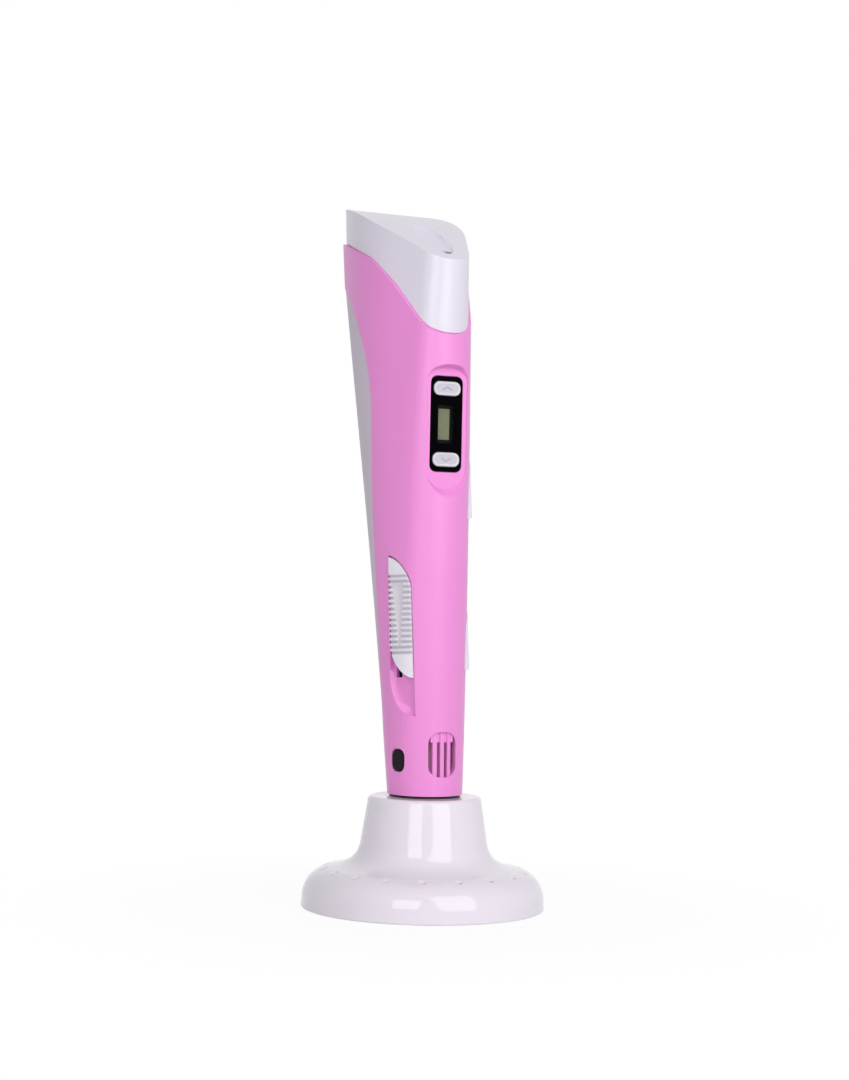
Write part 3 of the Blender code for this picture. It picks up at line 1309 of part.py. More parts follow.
def fan_star(twist):
    """Outline of the hub and blades, turned by twist."""
    blade_end = FAN_HOLE - 2 * RUN
    points = []
    for k in range(FAN_BLADES):
        for step, radius in ((-0.28, FAN_HUB), (-0.1, blade_end), (0.1, blade_end), (0.28, FAN_HUB)):
            turn = 2 * math.pi * (k + step) / FAN_BLADES + math.radians(twist)
            points.append(Vector((radius * math.cos(turn), radius * math.sin(turn))))
    return points


rotor_limits = (fan_front + RUN, fan_back - FAN_PLATE - RUN)
rotor = tapered([(fan_star(0), rotor_limits[0]), (fan_star(FAN_PITCH), rotor_limits[1])], fan_frame)
place("fan_rotor", rotor, FAN_LOOK, Vector((0, fan_front, FAN_HEIGHT)))


# Power inlet in the back of the front shell's upper ring

jack_end = jack_back - 0.1 * MM
flange = reach(Vector((0, 1)), JACK_HEIGHT - JACK_FLANGE, -INNER) - SEAT
place(
    "dc_jack",
    lathe(
        [
            (0, jack_end - JACK_LENGTH),
            (JACK_MOUTH, jack_end - JACK_LENGTH),
            (JACK_MOUTH, flange - JACK_FLANGE_THICK),
            (JACK_FLANGE, flange - JACK_FLANGE_THICK),
            (JACK_FLANGE, flange),
            (JACK_MOUTH, flange),
            (JACK_MOUTH, jack_end),
            (JACK_BORE, jack_end),
            (JACK_BORE, jack_end - JACK_LENGTH + 1.5 * MM),
            (JACK_PIN, jack_end - JACK_LENGTH + 1.5 * MM),
            (JACK_PIN, jack_end - 1.2 * MM),
            (0, jack_end - 1.2 * MM),
        ],
        16,
        jack_frame,
    ),
    JACK_LOOK,
)
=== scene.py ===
import math

import bpy
from mathutils import Matrix, Vector


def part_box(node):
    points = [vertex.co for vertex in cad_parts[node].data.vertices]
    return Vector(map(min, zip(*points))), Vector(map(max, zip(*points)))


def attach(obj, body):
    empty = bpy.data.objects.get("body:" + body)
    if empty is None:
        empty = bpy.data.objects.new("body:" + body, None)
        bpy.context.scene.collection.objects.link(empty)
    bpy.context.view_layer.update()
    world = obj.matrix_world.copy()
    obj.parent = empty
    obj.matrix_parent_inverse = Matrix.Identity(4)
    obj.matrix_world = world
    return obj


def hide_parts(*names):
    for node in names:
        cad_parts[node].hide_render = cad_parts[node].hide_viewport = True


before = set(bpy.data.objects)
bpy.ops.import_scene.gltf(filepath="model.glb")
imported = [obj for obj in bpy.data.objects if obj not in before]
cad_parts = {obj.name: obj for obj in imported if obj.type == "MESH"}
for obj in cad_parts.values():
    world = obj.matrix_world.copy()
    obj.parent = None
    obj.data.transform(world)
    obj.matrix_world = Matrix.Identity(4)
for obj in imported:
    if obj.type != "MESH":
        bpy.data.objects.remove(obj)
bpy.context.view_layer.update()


# Stand: a glossy white moulding, hollow underneath, with a conical cup that holds the pen by its nose.
# It is injection moulded in one shot and polished; small holes in its flange keep lengths of filament.

class Amount:
    """A socket that takes part in Python sums: each sum leaves a Math node behind it."""

    def __init__(self, finish, socket):
        self.finish = finish
        self.socket = socket

    def sum(self, operation, first, second):
        return self.finish.node("ShaderNodeMath", {"operation": operation}, {0: first, 1: second})

    def __add__(self, other):
        return self.sum("ADD", self, other)

    def __radd__(self, other):
        return self.sum("ADD", other, self)

    def __sub__(self, other):
        return self.sum("SUBTRACT", self, other)

    def __rsub__(self, other):
        return self.sum("SUBTRACT", other, self)

    def __mul__(self, other):
        return self.sum("MULTIPLY", self, other)

    def __rmul__(self, other):
        return self.sum("MULTIPLY", other, self)

    def __truediv__(self, other):
        return self.sum("DIVIDE", self, other)

    def __rtruediv__(self, other):
        return self.sum("DIVIDE", other, self)

    def __pow__(self, other):
        return self.sum("POWER", self, other)

    def __lt__(self, other):
        return self.sum("LESS_THAN", self, other)

    def __gt__(self, other):
        return self.sum("GREATER_THAN", self, other)

    def __abs__(self):
        return self.sum("ABSOLUTE", self, 0.0)


class Finish:
    """Nodes of one material or of the world."""

    def __init__(self, owner):
        owner.use_nodes = True
        self.owner = owner
        self.tree = owner.node_tree

    def put(self, socket, value):
        if isinstance(value, Amount):
            self.tree.links.new(value.socket, socket)
        else:
            socket.default_value = value

    def node(self, kind, settings, sockets, output=0):
        made = self.tree.nodes.new(kind)
        for name, value in settings.items():
            setattr(made, name, value)
        for name, value in sockets.items():
            self.put(made.inputs[name], value)
        return Amount(self, made.outputs[output])

    def place(self, centre=(0, 0, 0), turn=(0, 0, 0), scale=(1, 1, 1)):
        """Object coordinates with their zero at centre, then turned and stretched."""
        at = self.node("ShaderNodeTexCoord", {}, {}, "Object")
        at = self.node("ShaderNodeVectorMath", {"operation": "SUBTRACT"}, {0: at, 1: centre})
        return self.node("ShaderNodeMapping", {}, {"Vector": at, "Rotation": turn, "Scale": scale})

    def noise(self, place, scale, detail=2.0):
        return self.node("ShaderNodeTexNoise", {}, {"Vector": place, "Scale": scale, "Detail": detail})

    def mix(self, share, first, second):
        return self.node("ShaderNodeMix", {"data_type": "RGBA"}, {0: share, 6: first, 7: second}, 2)

    def bump(self, height, distance, strength=1.0):
        return self.node(
            "ShaderNodeBump", {}, {"Strength": strength, "Distance": distance, "Height": height}
        )

    def surface(self, **sockets):
        shader = self.tree.nodes["Principled BSDF"]
        for name, value in sockets.items():
            self.put(shader.inputs[name.replace("_", " ")], value)
        return self.owner


def tone(red, green, blue):
    """Colour from eight-bit screen values."""
    levels = [c / 255 for c in (red, green, blue)]
    return (*[c / 12.92 if c < 0.04045 else ((c + 0.055) / 1.055) ** 2.4 for c in levels], 1)


def shade(colour, share):
    return (*[min(c * share, 1) for c in colour[:3]], 1)


def moulded(name, colour, rough, grain=1400.0, depth=4e-6, drift=0.05, coat=0.0, level=0.5):
    """Moulded plastic: colour that drifts a little, fine grain from the mould, faint rubbed patches."""
    finish = Finish(bpy.data.materials.new(name))
    place = finish.place()
    broad = finish.noise(place, 45.0, 3.0)
    fine = finish.noise(place, grain, 2.0)
    rubbed = finish.noise(finish.place(scale=(1, 1, 0.35)), 160.0, 4.0)
    return finish.surface(
        Base_Color=finish.mix(broad, shade(colour, 1 - drift), shade(colour, 1 + drift)),
        Roughness=rough * 0.82 + rough * 0.22 * rubbed + rough * 0.14 * fine,
        Normal=finish.bump(fine, depth),
        Coat_Weight=coat,
        Coat_Roughness=0.05,
        Specular_IOR_Level=level,
    )


def curve(points, steps):
    """Points on one cubic curve after its first point."""
    found = []
    for k in range(1, steps + 1):
        t = k / steps
        weights = ((1 - t) ** 3, 3 * (1 - t) ** 2 * t, 3 * (1 - t) * t * t, t ** 3)
        found.append(sum((Vector(p) * w for p, w in zip(points, weights)), Vector((0, 0))))
    return found


def round_of(middle, radius, start, end, steps):
    """Points on an arc between two angles in degrees."""
    turns = [math.radians(start + (end - start) * k / steps) for k in range(steps + 1)]
    return [Vector((middle[0] + radius * math.cos(t), middle[1] + radius * math.sin(t))) for t in turns]


def turned(name, loop, steps):
    """Closed turned piece: a profile extruded point by point, then spun about the upright axis."""
    bpy.ops.object.select_all(action="DESELECT")
    bpy.ops.mesh.primitive_plane_add(size=0.001)
    piece = bpy.context.object
    piece.name = name
    bpy.ops.object.mode_set(mode="EDIT")
    bpy.ops.mesh.merge(type="CENTER")
    bpy.ops.transform.translate(value=(loop[0][0], 0, loop[0][1]))
    for here, there in zip(loop, loop[1:] + loop[:1]):
        step = (there[0] - here[0], 0, there[1] - here[1])
        bpy.ops.mesh.extrude_vertices_move(TRANSFORM_OT_translate={"value": step})
    bpy.ops.mesh.select_all(action="SELECT")
    bpy.ops.mesh.spin(steps=steps, angle=2 * math.pi, center=(0, 0, 0), axis=(0, 0, 1))
    bpy.ops.mesh.select_all(action="SELECT")
    bpy.ops.mesh.remove_doubles(threshold=1e-6)
    bpy.ops.mesh.normals_make_consistent(inside=False)
    bpy.ops.object.mode_set(mode="OBJECT")
    return piece


def carved(piece, cutter, operation="DIFFERENCE"):
    """Boolean of a piece and a cutter, which is used up."""
    change = piece.modifiers.new("carved", "BOOLEAN")
    change.operation = operation
    change.solver = "EXACT"
    change.object = cutter
    bpy.ops.object.select_all(action="DESELECT")
    bpy.context.view_layer.objects.active = piece
    piece.select_set(True)
    bpy.ops.object.modifier_apply(modifier=change.name)
    bpy.data.objects.remove(cutter)


def smoothed(piece, angle=35):
    bpy.ops.object.select_all(action="DESELECT")
    bpy.context.view_layer.objects.active = piece
    piece.select_set(True)
    bpy.ops.object.shade_smooth_by_angle(angle=math.radians(angle))
    even = piece.modifiers.new("even", "WEIGHTED_NORMAL")
    even.keep_sharp = True
    bpy.ops.object.modifier_apply(modifier=even.name)


def dressed(piece, look, body, slot, *nodes):
    """Gives a finished piece its look and the body it moves with, and hides the solids it stands for; the
    slot argument is not used.
    """
    piece.data.materials.clear()
    piece.data.materials.append(look)
    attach(piece, body)
    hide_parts(*nodes)


def joined(pieces):
    """Several meshes as one object, the first one."""
    bpy.ops.object.select_all(action="DESELECT")
    for piece in pieces:
        piece.select_set(True)
    bpy.context.view_layer.objects.active = pieces[0]
    bpy.ops.object.join()
    return pieces[0]


FILAMENT_HOLES = 18
HOLE_CIRCLE = 0.0295
HOLE_BORE = (0.00095, 0.00095, 0.0117, 0.0105)
HOLE_MOUTH = (0.00085, 0.00185, 0.0010, 0.01121)
stand_sweep = [(0.0183, 0.0200), (0.01898, 0.01452), (0.02155, 0.01278), (0.02753, 0.0117)]
stand_shoulder = [(0.02753, 0.0117), (0.03147, 0.01088), (0.0348, 0.00831), (0.0352, 0.00363)]
stand_loop = [Vector((0.01034, 0.0315)), Vector((0.01034, 0.03225)), Vector((0.0105, 0.0324))]
stand_loop += round_of((0.0152, 0.0310), 0.0014, 90, 4, 7) + [Vector((0.0183, 0.0200))]
stand_loop += curve(stand_sweep, 18) + curve(stand_shoulder, 18)
stand_loop += [Vector((0.03535, 0.0012))] + round_of((0.0348, 0.0006), 0.0006, 0, -90, 4)
stand_loop += [Vector((0.0333, 0)), Vector((0.0329, 0.0040)), Vector((0.0316, 0.0073))]
stand_loop += [Vector((0.0268, 0.0096)), Vector((0.0208, 0.0108)), Vector((0.0171, 0.0137))]
stand_loop += [Vector((0.0161, 0.0200)), Vector((0.0144, 0.0298))]
stand_loop += [Vector((0.01252, 0.0298)), Vector((0.01252, 0.0310)), Vector((0.00714, 0.0258))]
stand_loop += [Vector((0.00714, 0.0210)), Vector((0.00554, 0.0210)), Vector((0.00554, 0.0263))]
stand = turned("stand_moulding", stand_loop, 180)
for narrow, wide, depth, height in (HOLE_BORE, HOLE_MOUTH):
    drills = []
    for k in range(FILAMENT_HOLES):
        turn = 2 * math.pi * (k + 0.05) / FILAMENT_HOLES
        bpy.ops.object.select_all(action="DESELECT")
        bpy.ops.mesh.primitive_cone_add(
            vertices=24,
            radius1=narrow,
            radius2=wide,
            depth=depth,
            location=(HOLE_CIRCLE * math.cos(turn), HOLE_CIRCLE * math.sin(turn), height),
        )
        drills.append(bpy.context.object)
    carved(stand, joined(drills))
smoothed(stand, 40)
stand_white = moulded("stand_white", tone(234, 227, 238), 0.05, 700.0, 1.0e-6, 0.015)
dressed(stand, stand_white, "stand", "stand_white", "stand_base")


# Front shell: the pink half of the housing that carries the display, the slider and the feed buttons.
# Injection moulded with a satin mould surface; its rim stands proud of the cap with a rounded edge.

def taken(node, name):
    """A solid's own mesh as a new piece, its loose triangles merged into whole faces."""
    bpy.ops.object.select_all(action="DESELECT")
    piece = bpy.data.objects.new(name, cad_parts[node].data.copy())
    bpy.context.scene.collection.objects.link(piece)
    bpy.context.view_layer.objects.active = piece
    piece.select_set(True)
    bpy.ops.object.mode_set(mode="EDIT")
    bpy.ops.mesh.select_all(action="SELECT")
    bpy.ops.mesh.remove_doubles(threshold=2e-6)
    bpy.ops.mesh.dissolve_limited(angle_limit=math.radians(0.05))
    bpy.ops.object.mode_set(mode="OBJECT")
    return piece


def eased(piece, width, steps, wanted, sharp=30):
    """Rounds the sharp edges whose two ends both answer to wanted(place, normal)."""
    bpy.ops.object.select_all(action="DESELECT")
    bpy.context.view_layer.objects.active = piece
    piece.select_set(True)
    bpy.ops.object.mode_set(mode="EDIT")
    bpy.ops.mesh.select_mode(type="EDGE")
    bpy.ops.mesh.select_all(action="DESELECT")
    bpy.ops.mesh.edges_select_sharp(sharpness=math.radians(sharp))
    bpy.ops.object.mode_set(mode="OBJECT")
    mesh = piece.data
    kept = {v.index for v in mesh.vertices if wanted(v.co, v.normal)}
    chosen = [e.select and set(e.vertices) <= kept for e in mesh.edges]
    for group in (mesh.vertices, mesh.edges, mesh.polygons):
        group.foreach_set("select", [False] * len(group))
    mesh.edges.foreach_set("select", chosen)
    bpy.ops.object.mode_set(mode="EDIT")
    bpy.ops.mesh.bevel(offset=width, segments=steps, affect="EDGES", clamp_overlap=True)
    bpy.ops.object.mode_set(mode="OBJECT")


def softened(piece, width, steps=2, angle=35):
    """Rounds every sharp edge that is left."""
    edge = piece.modifiers.new("edge", "BEVEL")
    edge.width = width
    edge.segments = steps
    edge.limit_method = "ANGLE"
    edge.angle_limit = math.radians(angle)
    bpy.ops.object.select_all(action="DESELECT")
    bpy.context.view_layer.objects.active = piece
    piece.select_set(True)
    bpy.ops.object.modifier_apply(modifier=edge.name)


def shell_rim(co, normal):
    outward = Vector((co.x, co.y - 0.008)).normalized().dot(Vector((normal.x, normal.y)))
    jack = abs(co.x) < 0.006 and co.y > 0.02 and co.z < 0.1955
    return co.z > 0.1645 and outward > 0.15 and normal.z > 0.2 and not jack


def arch_foot(co, normal):
    beside = abs(co.x) > 0.0057 or co.z > 0.1547
    return abs(co.y + 0.0082) < 3e-5 and co.z > 0.1475 and beside


BED_MIDDLE = Vector((-0.011033, -0.003159, 0.0843))
BED_UP = Vector((-0.021511, 0.045793, 0.998719))
BED_OUT = Vector((-0.906308, -0.422618, -0.000143))
BED_ACROSS = BED_UP.cross(BED_OUT)


def bed_lip(co, normal):
    away = co - BED_MIDDLE
    low = -0.032 < away.dot(BED_UP) < -0.006
    wide = -0.0065 < away.dot(BED_ACROSS) < 0.0025
    return low and wide and away.dot(BED_OUT) > -0.0016 and normal.dot(BED_OUT) > 0.3


VENT_ROOF_LOW = Vector((-0.0036, -0.0094, 0.0486))
VENT_ROOF_HIGH = Vector((0.0036, -0.0088, 0.0519))
shell = taken("front_shell", "pink_shell")
bpy.ops.object.select_all(action="DESELECT")
bpy.ops.mesh.primitive_cube_add(size=1.0, location=(VENT_ROOF_LOW + VENT_ROOF_HIGH) / 2)
roof = bpy.context.object
roof.scale = VENT_ROOF_HIGH - VENT_ROOF_LOW
bpy.ops.object.transform_apply(location=False, rotation=False, scale=True)
carved(shell, roof, "UNION")
eased(shell, 0.0005, 4, bed_lip, 12)
eased(shell, 0.0009, 5, arch_foot, 10)
eased(shell, 0.00055, 4, shell_rim)
softened(shell, 0.0002, 2)
smoothed(shell)
pink = moulded("pink_satin", tone(237, 142, 216), 0.40, 1800.0, 5e-6, 0.02, 0.1, 0.6)
dressed(shell, pink, "pen", "pink", "front_shell")


# Spine cover: the long white back of the housing, set a little below the pink shell's skin.
# Moulded in white plastic and held by two cross-head screws in sunk seats.

spine = taken("spine_cover", "white_spine")
softened(spine, 0.00025, 3)
smoothed(spine)
white = moulded("white_satin", tone(225, 219, 233), 0.32, 1800.0, 4e-6, 0.015, 0.15, 0.5)
# The spine's white is a darker, duller copy of the white plastic: painted shade on the spine, which is
# moulded in the same white as the cap.
shaded_spine_white = moulded("shaded_spine_white", tone(215, 204, 219), 0.55, 1800.0, 4e-6, 0.015, 0.0, 0.2)
dressed(spine, shaded_spine_white, "pen", "white", "spine_cover")


def metal(name, colour, rough, stretch, depth=2e-6):
    """Drawn or turned metal: fine lines along one way, with duller patches."""
    finish = Finish(bpy.data.materials.new(name))
    lines = finish.noise(finish.place(scale=stretch), 900.0, 3.0)
    dull = finish.noise(finish.place(), 260.0, 4.0)
    return finish.surface(
        Base_Color=finish.mix(dull, shade(colour, 0.86), shade(colour, 1.06)),
        Metallic=1.0,
        Roughness=rough * 0.75 + rough * 0.3 * lines + rough * 0.3 * dull,
        Normal=finish.bump(lines, depth),
    )


steel = metal("plated_steel", tone(196, 196, 200), 0.3, (1, 6, 1))
for name in ("spine_screw_lower", "spine_screw_upper"):
    low, high = [Vector(c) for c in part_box(name)]
    screw = taken(name, name + "_head")
    middle = (low + high) / 2
    for turn in (0, 90):
        bpy.ops.object.select_all(action="DESELECT")
        bpy.ops.mesh.primitive_cube_add(size=1.0, location=(middle.x, high.y, middle.z))
        blade = bpy.context.object
        blade.scale = (0.0026, 0.0014, 0.0006) if turn == 0 else (0.0006, 0.0014, 0.0026)
        bpy.ops.object.transform_apply(location=False, rotation=False, scale=True)
        carved(screw, blade)
    softened(screw, 0.00015)
    smoothed(screw)
    dressed(screw, steel, "pen", "steel", name)


# Tail cap: the white top of the housing with a shallow dish that leads filament to the inlet hole.
# Moulded in the same white plastic; it plugs into the shell's rim with a fine gap round it.

def cap_top(co, normal):
    return normal.z > 0.25 and Vector((normal.x, normal.y)).length > 0.25 and co.z > 0.186


DISH_PLACE = (0.0, 0.0026, 0.19534)
DISH_SLOPE = math.radians(28.9)
DISH_SIZE = (0.0044, 0.0115, 0.0016)
INLET_PLACE = (0.0, -0.0050, 0.1895)
cap = taken("top_cap", "white_cap")
bpy.ops.object.select_all(action="DESELECT")
bpy.ops.mesh.primitive_uv_sphere_add(segments=64, ring_count=32, radius=1.0, location=DISH_PLACE)
bowl = bpy.context.object
bowl.scale = DISH_SIZE
bowl.rotation_euler = (DISH_SLOPE, 0, 0)
bpy.ops.object.transform_apply(location=False, rotation=True, scale=True)
carved(cap, bowl)
bpy.ops.object.select_all(action="DESELECT")
bpy.ops.mesh.primitive_cone_add(
    vertices=40, radius1=0.0019, radius2=0.0022, depth=0.007, location=INLET_PLACE,
)
carved(cap, bpy.context.object)
eased(cap, 0.0008, 5, cap_top, 20)
softened(cap, 0.0002, 2)
smoothed(cap, 30)
cap_finish = Finish(bpy.data.materials.new("cap_white"))
parts = cap_finish.tree.nodes.new("ShaderNodeSeparateXYZ")
cap_finish.put(parts.inputs[0], cap_finish.place(INLET_PLACE))
out_x, out_y = Amount(cap_finish, parts.outputs[0]), Amount(cap_finish, parts.outputs[1])
# Inside the inlet hole the white is painted grey and made rougher: painted shade for the hole's shaded
# far wall.
painted_hole_shade = (out_x * out_x + out_y * out_y) < 0.00232 ** 2
broad = cap_finish.noise(cap_finish.place(), 45.0, 3.0)
fine = cap_finish.noise(cap_finish.place(), 1800.0, 2.0)
unshaded_cap_white = cap_finish.mix(broad, tone(223, 217, 231), tone(226, 220, 234))
dressed(cap, cap_finish.surface(
    Base_Color=cap_finish.mix(painted_hole_shade, unshaded_cap_white, tone(150, 146, 160)),
    Roughness=0.28 + 0.06 * fine + 0.15 * painted_hole_shade,
    Normal=cap_finish.bump(fine, 4e-6),
    Coat_Weight=0.15,
    Coat_Roughness=0.05,
), "pen", "white", "top_cap")


# Display: a black bezel with a clear pane over a small liquid crystal panel, and a key at each end.
# The bezel is polished; the panel is masked black round its grey-green area; the keys are white.

def polished(name, colour, rough, level):
    """Polished dark plastic: hairline scratches and a trace of dust on a deep gloss."""
    finish = Finish(bpy.data.materials.new(name))
    hairs = finish.noise(finish.place(turn=(0.3, 0.5, 0.2), scale=(1, 1, 14)), 320.0, 4.0)
    dust = finish.noise(finish.place(), 1500.0, 2.0)
    return finish.surface(
        Base_Color=finish.mix(dust, shade(colour, 0.8), shade(colour, 1.3)),
        Roughness=rough + 0.05 * hairs ** 3.0,
        Normal=finish.bump(hairs, 4e-7),
        Specular_IOR_Level=level,
    )


bezel = taken("display_bezel", "black_bezel")
softened(bezel, 0.00022, 3)
smoothed(bezel)
gloss_black = polished("gloss_black", (0.0014, 0.0011, 0.0018, 1), 0.12, 0.012)
dressed(bezel, gloss_black, "pen", "gloss_black", "display_bezel")


def coated(node, look):
    """Puts a look on a solid that keeps its own shape."""
    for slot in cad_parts[node].material_slots:
        slot.material = look


pane = Finish(bpy.data.materials.new("clear_pane"))
smear = pane.noise(pane.place(), 240.0, 3.0)
coated("display_window", pane.surface(
    Base_Color=pane.mix(smear, (0.01, 0.012, 0.01, 1), (0.03, 0.035, 0.03, 1)),
    Roughness=0.04 + 0.05 * smear,
    Alpha=0.08 + 0.03 * smear,
    Specular_IOR_Level=0.06,
))

LCD_MIDDLE = (0.0, 0.0, 0.1403)
glass = Finish(bpy.data.materials.new("lcd_glass"))
spot = glass.place(LCD_MIDDLE)
parts = glass.tree.nodes.new("ShaderNodeSeparateXYZ")
glass.put(parts.inputs[0], spot)
across, upward = Amount(glass, parts.outputs[0]), Amount(glass, parts.outputs[2])
active = (abs(across) < 0.00183) * (abs(upward) < 0.00445)
cells = glass.node("ShaderNodeTexBrick", {"offset": 0.0}, {
    "Vector": glass.place(LCD_MIDDLE, (math.pi / 2, 0, 0), (1, 1, 1)),
    "Color1": tone(150, 154, 122),
    "Color2": tone(156, 160, 130),
    "Mortar": tone(142, 147, 116),
    "Scale": 1.0,
    "Mortar Size": 0.00003,
    "Brick Width": 0.0006,
    "Row Height": 0.0006,
})
cloud = glass.noise(spot, 420.0, 3.0)
coated("lcd_panel", glass.surface(
    Base_Color=glass.mix(
        active, (0.002, 0.002, 0.002, 1), glass.mix(0.35 * cloud, cells, tone(138, 144, 112)),
    ),
    Roughness=0.35 + 0.25 * active + 0.1 * cloud,
    Normal=glass.bump(cells, 1e-6),
    Specular_IOR_Level=0.1,
))

KEY_SPREAD = 0.01025
KEY_STRAIGHT = 0.00235
CHEVRON_MIDDLE = 0.00085
CHEVRON_SLOPE = math.radians(28)
keys = Finish(bpy.data.materials.new("key_white"))
parts = keys.tree.nodes.new("ShaderNodeSeparateXYZ")
keys.put(parts.inputs[0], keys.place(LCD_MIDDLE))
across = abs(Amount(keys, parts.outputs[0]))
upward = abs(Amount(keys, parts.outputs[2])) - KEY_SPREAD
past = (across - KEY_STRAIGHT) * (across > KEY_STRAIGHT)
# The key face inside the rim is painted greyer than the rim, painted shade in the dished face, and a
# darker band runs along each chevron: painted shade beside the raised chevron bars.
rim = keys.node("ShaderNodeMapRange", {"interpolation_type": "SMOOTHSTEP"}, {
    "Value": (past * past + upward * upward) ** 0.5, "From Min": 0.00118, "From Max": 0.0016,
})
line = (CHEVRON_MIDDLE - across) * math.tan(CHEVRON_SLOPE)
painted_chevron_shade = (abs(upward - line) < 0.00024) * (across < 0.0017)
fine = keys.noise(keys.place(), 1800.0)
shaded_key_face = keys.mix(painted_chevron_shade, tone(199, 195, 207), tone(177, 173, 187))
key_white = keys.surface(
    Base_Color=keys.mix(rim, shaded_key_face, tone(221, 218, 228)),
    Roughness=0.3 + 0.08 * fine,
    Normal=keys.bump(fine, 4e-6),
    Specular_IOR_Level=0.35,
)
for name, way in (("temp_up_button", 1), ("temp_down_button", -1)):
    low, high = [Vector(c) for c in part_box(name)]
    key = taken(name, name + "_cap")
    bpy.ops.object.mode_set(mode="EDIT")
    bpy.ops.mesh.select_mode(type="FACE")
    bpy.ops.mesh.select_all(action="DESELECT")
    bpy.ops.object.mode_set(mode="OBJECT")
    for face in key.data.polygons:
        face.select = face.normal.y < -0.99 and face.center.y < low.y + 5e-5
    bpy.ops.object.mode_set(mode="EDIT")
    bpy.ops.mesh.inset(thickness=0.00045)
    bpy.ops.transform.translate(value=(0, 0.00016, 0))
    bpy.ops.mesh.inset(thickness=0.0003)
    bpy.ops.transform.translate(value=(0, 0.00004, 0))
    bpy.ops.object.mode_set(mode="OBJECT")
    softened(key, 0.0002, 3, 12)
    middle = (low + high) / 2
    for side in (-1, 1):
        bpy.ops.object.select_all(action="DESELECT")
        bpy.ops.mesh.primitive_cube_add(size=1.0, location=(
            middle.x + side * CHEVRON_MIDDLE, low.y + 0.00026, middle.z,
        ))
        bar = bpy.context.object
        bar.scale = (0.002, 0.00034, 0.0004)
        bar.rotation_euler = (0, side * way * CHEVRON_SLOPE, 0)
        bpy.ops.object.transform_apply(location=False, rotation=True, scale=True)
        softened(bar, 0.0001, 2)
        carved(key, bar, "UNION")
    smoothed(key)
    dressed(key, key_white, name, "white", name)


# Speed slider: the white thumb knob that runs in the scooped bed on the left of the shell.
# One moulding with a row of grip ribs that fade into a thumb dish; its stem works the slide switch.

RIB_PITCH = 0.00158
RIB_HIGH = 0.0111
RIBS = 14


def ramp(value, start, end):
    """Smooth step from 0 to 1."""
    t = min(max((value - start) / (end - start), 0), 1)
    return t * t * (3 - 2 * t)


knob = taken("speed_slider", "slider_knob")
softened(knob, 0.00035, 3)
bpy.ops.object.mode_set(mode="EDIT")
bpy.ops.mesh.select_mode(type="FACE")
rows = [RIB_HIGH + RIB_PITCH - RIB_PITCH * k / 6 for k in range(6 * RIBS + 7)]
cuts = [(BED_UP, BED_MIDDLE + BED_UP * v) for v in rows]
cuts += [(BED_ACROSS, BED_MIDDLE + BED_ACROSS * u * 0.0004) for u in range(-8, 9)]
for way, place in cuts:
    bpy.ops.mesh.select_all(action="SELECT")
    bpy.ops.mesh.bisect(plane_co=place, plane_no=way)
bpy.ops.object.mode_set(mode="OBJECT")
# Each point's depth in a grip groove is stored as a point attribute; the knob's material darkens by it,
# painted shade in the grooves.
groove_shade = knob.data.attributes.new("groove_shade", "FLOAT", "POINT")
for vertex in knob.data.vertices:
    away = vertex.co - BED_MIDDLE
    u, v, w = away.dot(BED_ACROSS), away.dot(BED_UP), away.dot(BED_OUT)
    if w < -0.0006:
        continue
    count = (RIB_HIGH - v) / RIB_PITCH
    along = ramp(count, -1.0, -0.6) * ramp(RIBS - 1 - count, -1.0, -0.6)
    down = min(max((count - 1) / (RIBS - 3), 0), 1)
    half = 0.0020 - 0.0017 * down
    off = abs(u + 0.0007 - 0.0004 * down)
    fade = ramp(off, half - 0.0003, half + 0.0003)
    first = max(ramp(0.9 - abs(count), 0, 0.3), ramp(0.9 - abs(count - RIBS + 1), 0, 0.3))
    rib = math.cos(2 * math.pi * count) * max(fade, first)
    dish = max(1 - (off / (half + 0.0003)) ** 2, 0)
    dish *= ramp(count, 0.5, 2) * ramp(RIBS - 1 - count, 0.5, 2)
    vertex.co += BED_OUT * along * (0.00038 * rib - 0.0003 * dish)
    vertex.co += BED_ACROSS * along * 0.00032 * ramp(-u, 0.0026, 0.0036) * (0.5 - 0.5 * rib)
    sunk = max(0.5 - 0.5 * rib * max(fade, first), 0)
    groove_shade.data[vertex.index].value = along * sunk * (1 - 0.4 * dish)
smoothed(knob, 50)
# The knob's white is lighter than the other white mouldings, a painted highlight on the ridges, and is
# darkened towards grey by the groove attribute: painted shade in the grooves.
knob_finish = Finish(bpy.data.materials.new("knob_white"))
rubbed = knob_finish.noise(knob_finish.place(), 700.0, 3.0)
painted_groove_shade = knob_finish.node("ShaderNodeAttribute", {"attribute_name": "groove_shade"}, {}, "Fac")
knob_white = knob_finish.surface(
    Base_Color=knob_finish.mix(0.75 * painted_groove_shade + 0.06 * rubbed, tone(238, 234, 244), tone(176, 168, 184)),
    Roughness=0.24 + 0.08 * rubbed + 0.12 * painted_groove_shade,
    Normal=knob_finish.bump(rubbed, 3e-6),
)
dressed(knob, knob_white, "speed_slider", "white", "speed_slider")
switch_black = moulded("switch_black", tone(36, 36, 37), 0.5, 1200.0, 6e-6, 0.12)
for name in ("temp_up_switch", "temp_down_switch", "load_switch", "unload_switch"):
    coated(name, switch_black)
coated("speed_pot", moulded("resin_brown", tone(112, 58, 66), 0.5, 900.0, 6e-6, 0.12))


# Feed buttons: two white rockers on the right of the shell that load and draw back the filament.
# Each is moulded with a lip behind the wall that keeps it in its hole, over a small push switch.

for name in ("load_button", "unload_button"):
    button = taken(name, name + "_cap")
    softened(button, 0.0003, 3)
    smoothed(button)
    dressed(button, white, name, "white", name)


# Main board: a green laminate strip behind the display, screwed to two posts in the shell.
# Its copper runs show through the solder mask as slightly lighter lines.

